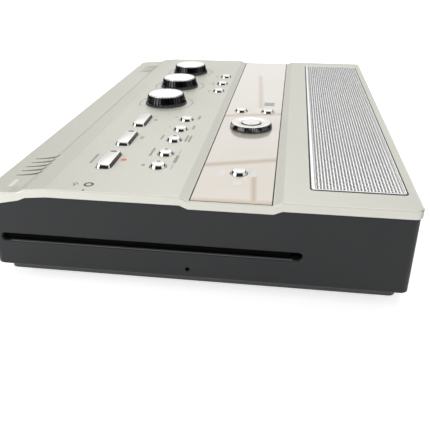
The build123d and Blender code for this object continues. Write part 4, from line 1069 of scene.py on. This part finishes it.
grille = join([grille_sheet, rim], "perforated_grille")
smooth(grille, 40)
dress(grille, GRILLE, HOLE_WALL, in_hole)
hand_over(grille, "cabinet", "grille_metal", "speaker_grille")
print("grille:", sum(len(f.vertices) - 2 for f in grille.data.polygons), "triangles")

# %% [markdown]
# The strip and the grille lie in pockets of the plate, with a narrow dark gap all round. A black
# frame of painted shade fills each gap: the same kind of frame as the rim, laid in the gap and
# lapped a hair over the plate's edge, so that the line stays dark from every side.
# %% Painted shade in the gaps
GAP = 0.4 * MM
RISE = 0.02 * MM
DEEP = 0.35 * MM


def shade_gap(name, node, top, corner, lap):
    """A black frame of painted shade that fills the gap round a node and laps over the plate."""
    low, high = (Vector(spot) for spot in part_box(node))
    size = high - low + Vector((2, 2, 0)) * (GAP + lap)
    middle = (low + high) / 2
    piece = flat_frame(name, (middle.x, middle.y, top + RISE), size, corner, GAP + lap, DEEP)
    on_cabinet(settle(piece), GAP_SHADE, "foot_rubber")


shade_gap("grille_gap_shade", "speaker_grille", plate_top, 2.4 * MM, 0.45 * MM)
shade_gap("strip_gap_shade", "display_strip", strip_top, 0.3 * MM, 0.3 * MM)
print("gap_shades: gap", round(GAP / MM, 2), "mm")

# %% [markdown]
# Behind the disc slot hang two strips of black felt that keep dust out. The real ones nearly
# touch, and the upper one ends in a slant. A plane is cut to each outline, then made thick.
# %% Felt behind the slot
WALL = 2.5 * MM
FELT_BEHIND = 0.1 * MM
FELT_THICK = 0.8 * MM
FELT_TOP = 30.5 * MM
FELT_BOTTOM = 22.5 * MM
UPPER_EDGE = 25.6 * MM
LOWER_EDGE = 25.4 * MM
FELT_PAST = 3 * MM
slot_low, slot_high = (Vector(corner) for corner in
                       next(o["box_m"] for o in frame["record"]["physics"]["openings"]
                            if o["name"] == "disc_slot"))
wall_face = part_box("side_case")[1][0]
felt_face = wall_face - WALL - FELT_BEHIND


def felt(name, outline):
    """A felt strip behind the wall, from its outline in (y, z) metres."""
    clear()
    bpy.ops.mesh.primitive_circle_add(vertices=len(outline), radius=1 * MM, fill_type="NGON")
    piece = named(name)
    for vertex, (y, z) in zip(piece.data.vertices, outline):
        vertex.co = (felt_face, y, z)
    edit(piece)
    select_all()
    bpy.ops.mesh.extrude_region_move(TRANSFORM_OT_translate={"value": (-FELT_THICK, 0, 0)})
    close_outwards()
    return piece


front, back = slot_low.y - FELT_PAST, slot_high.y + FELT_PAST
upper = felt("upper_felt", [(front, FELT_TOP), (front, UPPER_EDGE), (back - 7 * MM, UPPER_EDGE),
                            (back - 4.5 * MM, FELT_TOP)])
lower = felt("lower_felt", [(front, LOWER_EDGE), (front, FELT_BOTTOM), (back, FELT_BOTTOM),
                            (back, LOWER_EDGE)])
on_cabinet(join([upper, lower], "slot_felt"), FELT, "mic_black")
print("felt from", round(front / MM, 1), "to", round(back / MM, 1), "mm")

# %% [markdown]
# The slot's lower edge catches the light as a thin pale line. A thin bar in a paler grey, a painted
# highlight, lies in the slot along that edge, level with the wall, and ends where the slot's round ends
# start.
# %% Lip of the slot
LIP_DEPTH = 1.2 * MM
LIP_TALL = 0.3 * MM
SLOT_END = 2.5 * MM
clear()
lip_place = (wall_face - LIP_DEPTH / 2, (slot_low.y + slot_high.y) / 2, slot_low.z + LIP_TALL / 2)
lip_size = (LIP_DEPTH, slot_high.y - slot_low.y - 2 * SLOT_END, LIP_TALL)
bpy.ops.mesh.primitive_cube_add(size=1, scale=lip_size, location=lip_place)
# The bar's paler grey is a painted highlight.
on_cabinet(settle(named("slot_lip")), LIP_HIGHLIGHT, "charcoal_case")
print("slot lip:", round(lip_size[1] / MM, 1), "mm long")

# %% [markdown]
# Print on the plate is a thin layer of ink. Each mark is a small flat shape, made from a circle
# or a plane and given a hair of thickness. An arc is made by a spin.
# %% Shapes of ink
INK = 0.03 * MM


def blot(name, sides, radius, place, stretch=(1, 1), turn=0.0):
    """A flat shape with so many sides, stretched and turned, with a hair of thickness."""
    clear()
    bpy.ops.mesh.primitive_circle_add(vertices=sides, radius=radius, fill_type="NGON")
    mark = named(name)
    edit(mark)
    select_all()
    extrude(INK)
    close_outwards()
    mark.data.transform(Matrix.Rotation(turn, 4, "Z") @ Matrix.Diagonal((*stretch, 1, 1)))
    mark.data.transform(Matrix.Translation(place))
    return mark


def bar(name, length, width, place, turn=0.0):
    """A thin printed bar."""
    mark = blot(name, 4, math.sqrt(0.5), (0, 0, 0), turn=math.pi / 4)
    mark.data.transform(Matrix.Diagonal((length, width, 1, 1)))
    mark.data.transform(Matrix.Translation(place) @ Matrix.Rotation(turn, 4, "Z"))
    return mark


def band(name, inner, outer, place, start, end, steps):
    """A printed arc between two radii, from one angle to another, made by a spin."""
    clear()
    bpy.ops.mesh.primitive_plane_add(size=1)
    mark = named(name)
    edit(mark)
    pick(mark, "FACE", lambda middle, face: True)
    bpy.ops.mesh.delete(type="ONLY_FACE")
    pick(mark, "EDGE", lambda middle, edge: abs(middle.y + 0.5) > 0.01)
    bpy.ops.mesh.delete(type="EDGE")
    close_edit()
    for vertex, reach in zip(mark.data.vertices, (inner, outer)):
        vertex.co = (reach * math.cos(start), reach * math.sin(start), 0)
    edit(mark)
    select_all()
    bpy.ops.mesh.spin(steps=steps, angle=end - start, center=(0, 0, 0), axis=(0, 0, 1))
    select_all()
    bpy.ops.mesh.remove_doubles(threshold=1e-7)
    select_all()
    extrude(INK)
    close_outwards()
    mark.data.transform(Matrix.Translation(place))
    return mark


print("ink", round(INK / MM, 2), "mm thick")

# %% [markdown]
# Round every knob runs a thin arc with eleven ticks outside it, open towards the front.
# %% Arcs and ticks round the knobs
ARC_INNER = 20.6 * MM
ARC_OUTER = 21.1 * MM
ARC_START = -60
ARC_END = 240
TICK_REACH = 22.2 * MM
grey_marks = []
for knob in KNOBS:
    hub = top_of(knob + "_skirt")
    hub.z = plate_top
    grey_marks.append(band(knob + "_arc", ARC_INNER, ARC_OUTER, hub, math.radians(ARC_START),
                           math.radians(ARC_END), 48))
    for degrees in range(ARC_START, ARC_END + 1, 30):
        angle = math.radians(degrees)
        place = hub + Vector((math.cos(angle), math.sin(angle), 0)) * TICK_REACH
        grey_marks.append(bar(knob + "_tick", 1.6 * MM, 0.5 * MM, place, angle))
print("marks round the knobs:", len(grey_marks))

# %% [markdown]
# Beside the transport keys stand plain signs: a triangle with two bars, a square and a red dot.
# %% Signs beside the transport keys
play_top = top_of("play_button")
stop_top = top_of("stop_button")
record_top = top_of("record_button")
sign_y = play_top.y + 8.7 * MM
grey_marks.append(blot("play_sign", 3, 1.5 * MM, (play_top.x - 2.4 * MM, sign_y, plate_top)))
for offset in (-6.2 * MM, -4.6 * MM):
    grey_marks.append(bar("pause_sign", 0.6 * MM, 2.6 * MM, (play_top.x + offset, sign_y, plate_top)))
grey_marks.append(bar("stop_sign", 2.4 * MM, 2.4 * MM, (stop_top.x - 3.6 * MM, sign_y, plate_top)))
record_sign = blot("record_sign", 32, 1.8 * MM,
                   (record_top.x - 2.2 * MM, record_top.y + 8.1 * MM, plate_top))
on_cabinet(record_sign, PRINT_RED, "silver_plate")
print("signs in place")

# %% [markdown]
# Where the real one has a word, a row of short ticks keeps its place and size. The places were
# read off the photograph: start and end along the recorder, middle across it, and height,
# in millimetres.
# %% Ticks in place of words
PLATE_WORDS = [
    (117.6, 132.5, -66.7, 1.7), (129.6, 132.4, -35.4, 2.2), (102.3, 115.8, -35.2, 1.7),
    (77.0, 86.4, -35.2, 1.5), (58.2, 60.8, -35.0, 1.4), (35.6, 38.0, -35.2, 1.4),
    (113.3, 125.8, -18.3, 2.4), (76.0, 88.6, -18.9, 1.6), (76.0, 88.6, -16.6, 1.6),
    (54.7, 63.1, -18.3, 1.7), (31.7, 39.9, -18.1, 1.7), (-44.0, -39.0, -22.6, 1.3),
    (-71.0, -65.0, -22.6, 1.3), (-98.0, -92.0, -22.6, 1.3),
]
BRACKET_LINES = [(104.5, 111.9), (127.2, 135.7)]
BRACKET_Y = -18.3


def ticks(name, word, level, share=0.62):
    """A row of short ticks along x, of three heights, which stands in place of a word."""
    start, end, y, tall = (value * MM for value in word)
    count = max(2, round((end - start) / (1.15 * MM)))
    step = (end - start) / count
    return [bar(name, share * step, tall * (0.75 + 0.25 * (number * 7 % 3) / 2),
                (start + (number + 0.5) * step, y, level)) for number in range(count)]


for word in PLATE_WORDS:
    grey_marks += ticks("word_ticks", word, plate_top)
for start, end in BRACKET_LINES:
    grey_marks.append(bar("bracket_line", (end - start) * MM, 0.3 * MM,
                          ((start + end) / 2 * MM, BRACKET_Y * MM, plate_top)))
plate_marks = join(grey_marks, "plate_marks")
on_cabinet(plate_marks, PRINT_GREY, "silver_plate")
print("plate marks:", len(plate_marks.data.polygons), "faces")

# %% [markdown]
# The power lamp has a dark printed ring, with a small lamp sign and a dot beside it.
# %% Marks by the power lamp
LAMP_SIGN = (162.0 * MM, -64.4 * MM, plate_top)
lamp_top = top_of("power_lamp")
lamp_marks = [
    band("lamp_ring", 1.5 * MM, 2.75 * MM, (lamp_top.x, lamp_top.y, plate_top), 0, 2 * math.pi, 40),
    band("lamp_sign", 0.9 * MM, 1.3 * MM, LAMP_SIGN, 0, 2 * math.pi, 24),
    bar("lamp_stem", 1.8 * MM, 0.5 * MM, (LAMP_SIGN[0] + 2.2 * MM, LAMP_SIGN[1], plate_top)),
    blot("lamp_dot", 24, 0.7 * MM, (169.5 * MM, -57.5 * MM, plate_top)),
]
lamp_ring = join(lamp_marks, "lamp_ring")
on_cabinet(lamp_ring, PRINT_DARK, "silver_plate")
print("lamp marks:", len(lamp_ring.data.polygons), "faces")

# %% [markdown]
# The strip carries white print by its keys and a small flush window for the remote sensor. They
# lie on the strip in the same thin layer as the ink on the plate. One word on the plate, by the
# microphone slots, is white too.
# %% White marks, and the sensor's window
STRIP_WORDS = [
    (2.4, 6.4, 17.1, 2.0), (0.0, 4.0, 37.2, 2.0), (127.6, 137.2, 10.6, 3.4),
    (126.4, 136.0, 28.4, 3.4), (142.6, 147.6, 20.4, 5.0),
]
MIC_WORD = (161.0, 170.0, -97.5, 2.6)
white_marks = []
for word in STRIP_WORDS:
    white_marks += ticks("strip_ticks", word, strip_top, 0.8)
strip_marks = join(white_marks, "strip_marks")
on_cabinet(strip_marks, PRINT_WHITE, "strip_window")
sensor = bar("sensor_pane", 9.6 * MM, 8.0 * MM, (-13.4 * MM, 30.4 * MM, strip_top))
on_cabinet(sensor, SENSOR, "strip_window")
mic_ticks = join(ticks("mic_ticks", MIC_WORD, plate_top, 0.7), "mic_ticks")
on_cabinet(mic_ticks, PRINT_WHITE, "silver_plate")
print("strip marks:", len(strip_marks.data.polygons), "faces")

# %% [markdown]
# The floor is plain and pale. It keeps the soft shadow under the case, and the camera sees it a
# little brighter than it lights the object, so that it reads as white paper.
# %% Floor
PAPER_GLOW = 0.66
clear()
bpy.ops.mesh.primitive_plane_add(size=8, location=(0, 0, 0))
floor = named("studio_floor")
paper = bpy.data.materials.new("white_paper")
paper.use_nodes = True
sheet = paper.node_tree
paper_shader = sheet.nodes["Principled BSDF"]
paper_shader.inputs["Base Color"].default_value = (0.93, 0.93, 0.93, 1)
paper_shader.inputs["Roughness"].default_value = 0.9
paper_shader.inputs["Emission Color"].default_value = (1, 1, 1, 1)
rays = sheet.nodes.new("ShaderNodeLightPath").outputs
watched = math_node(sheet, "MAXIMUM", rays["Is Camera Ray"], rays["Is Glossy Ray"])
wire(sheet, paper_shader.inputs["Emission Strength"], math_node(sheet, "MULTIPLY", watched, PAPER_GLOW))
floor.data.materials.append(paper)
floor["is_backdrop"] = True
print("floor in place")

# %% [markdown]
# Last, the box of the imported model and the box of the dressed one are put side by side, and the
# dressed one's box is printed.
# %% Sizes, and the end
visual_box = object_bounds()
boxes = {"cad": [list(map(float, corner)) for corner in cad_box],
         "visual": [list(map(float, corner)) for corner in visual_box]}
print("visual box:", boxes["visual"])
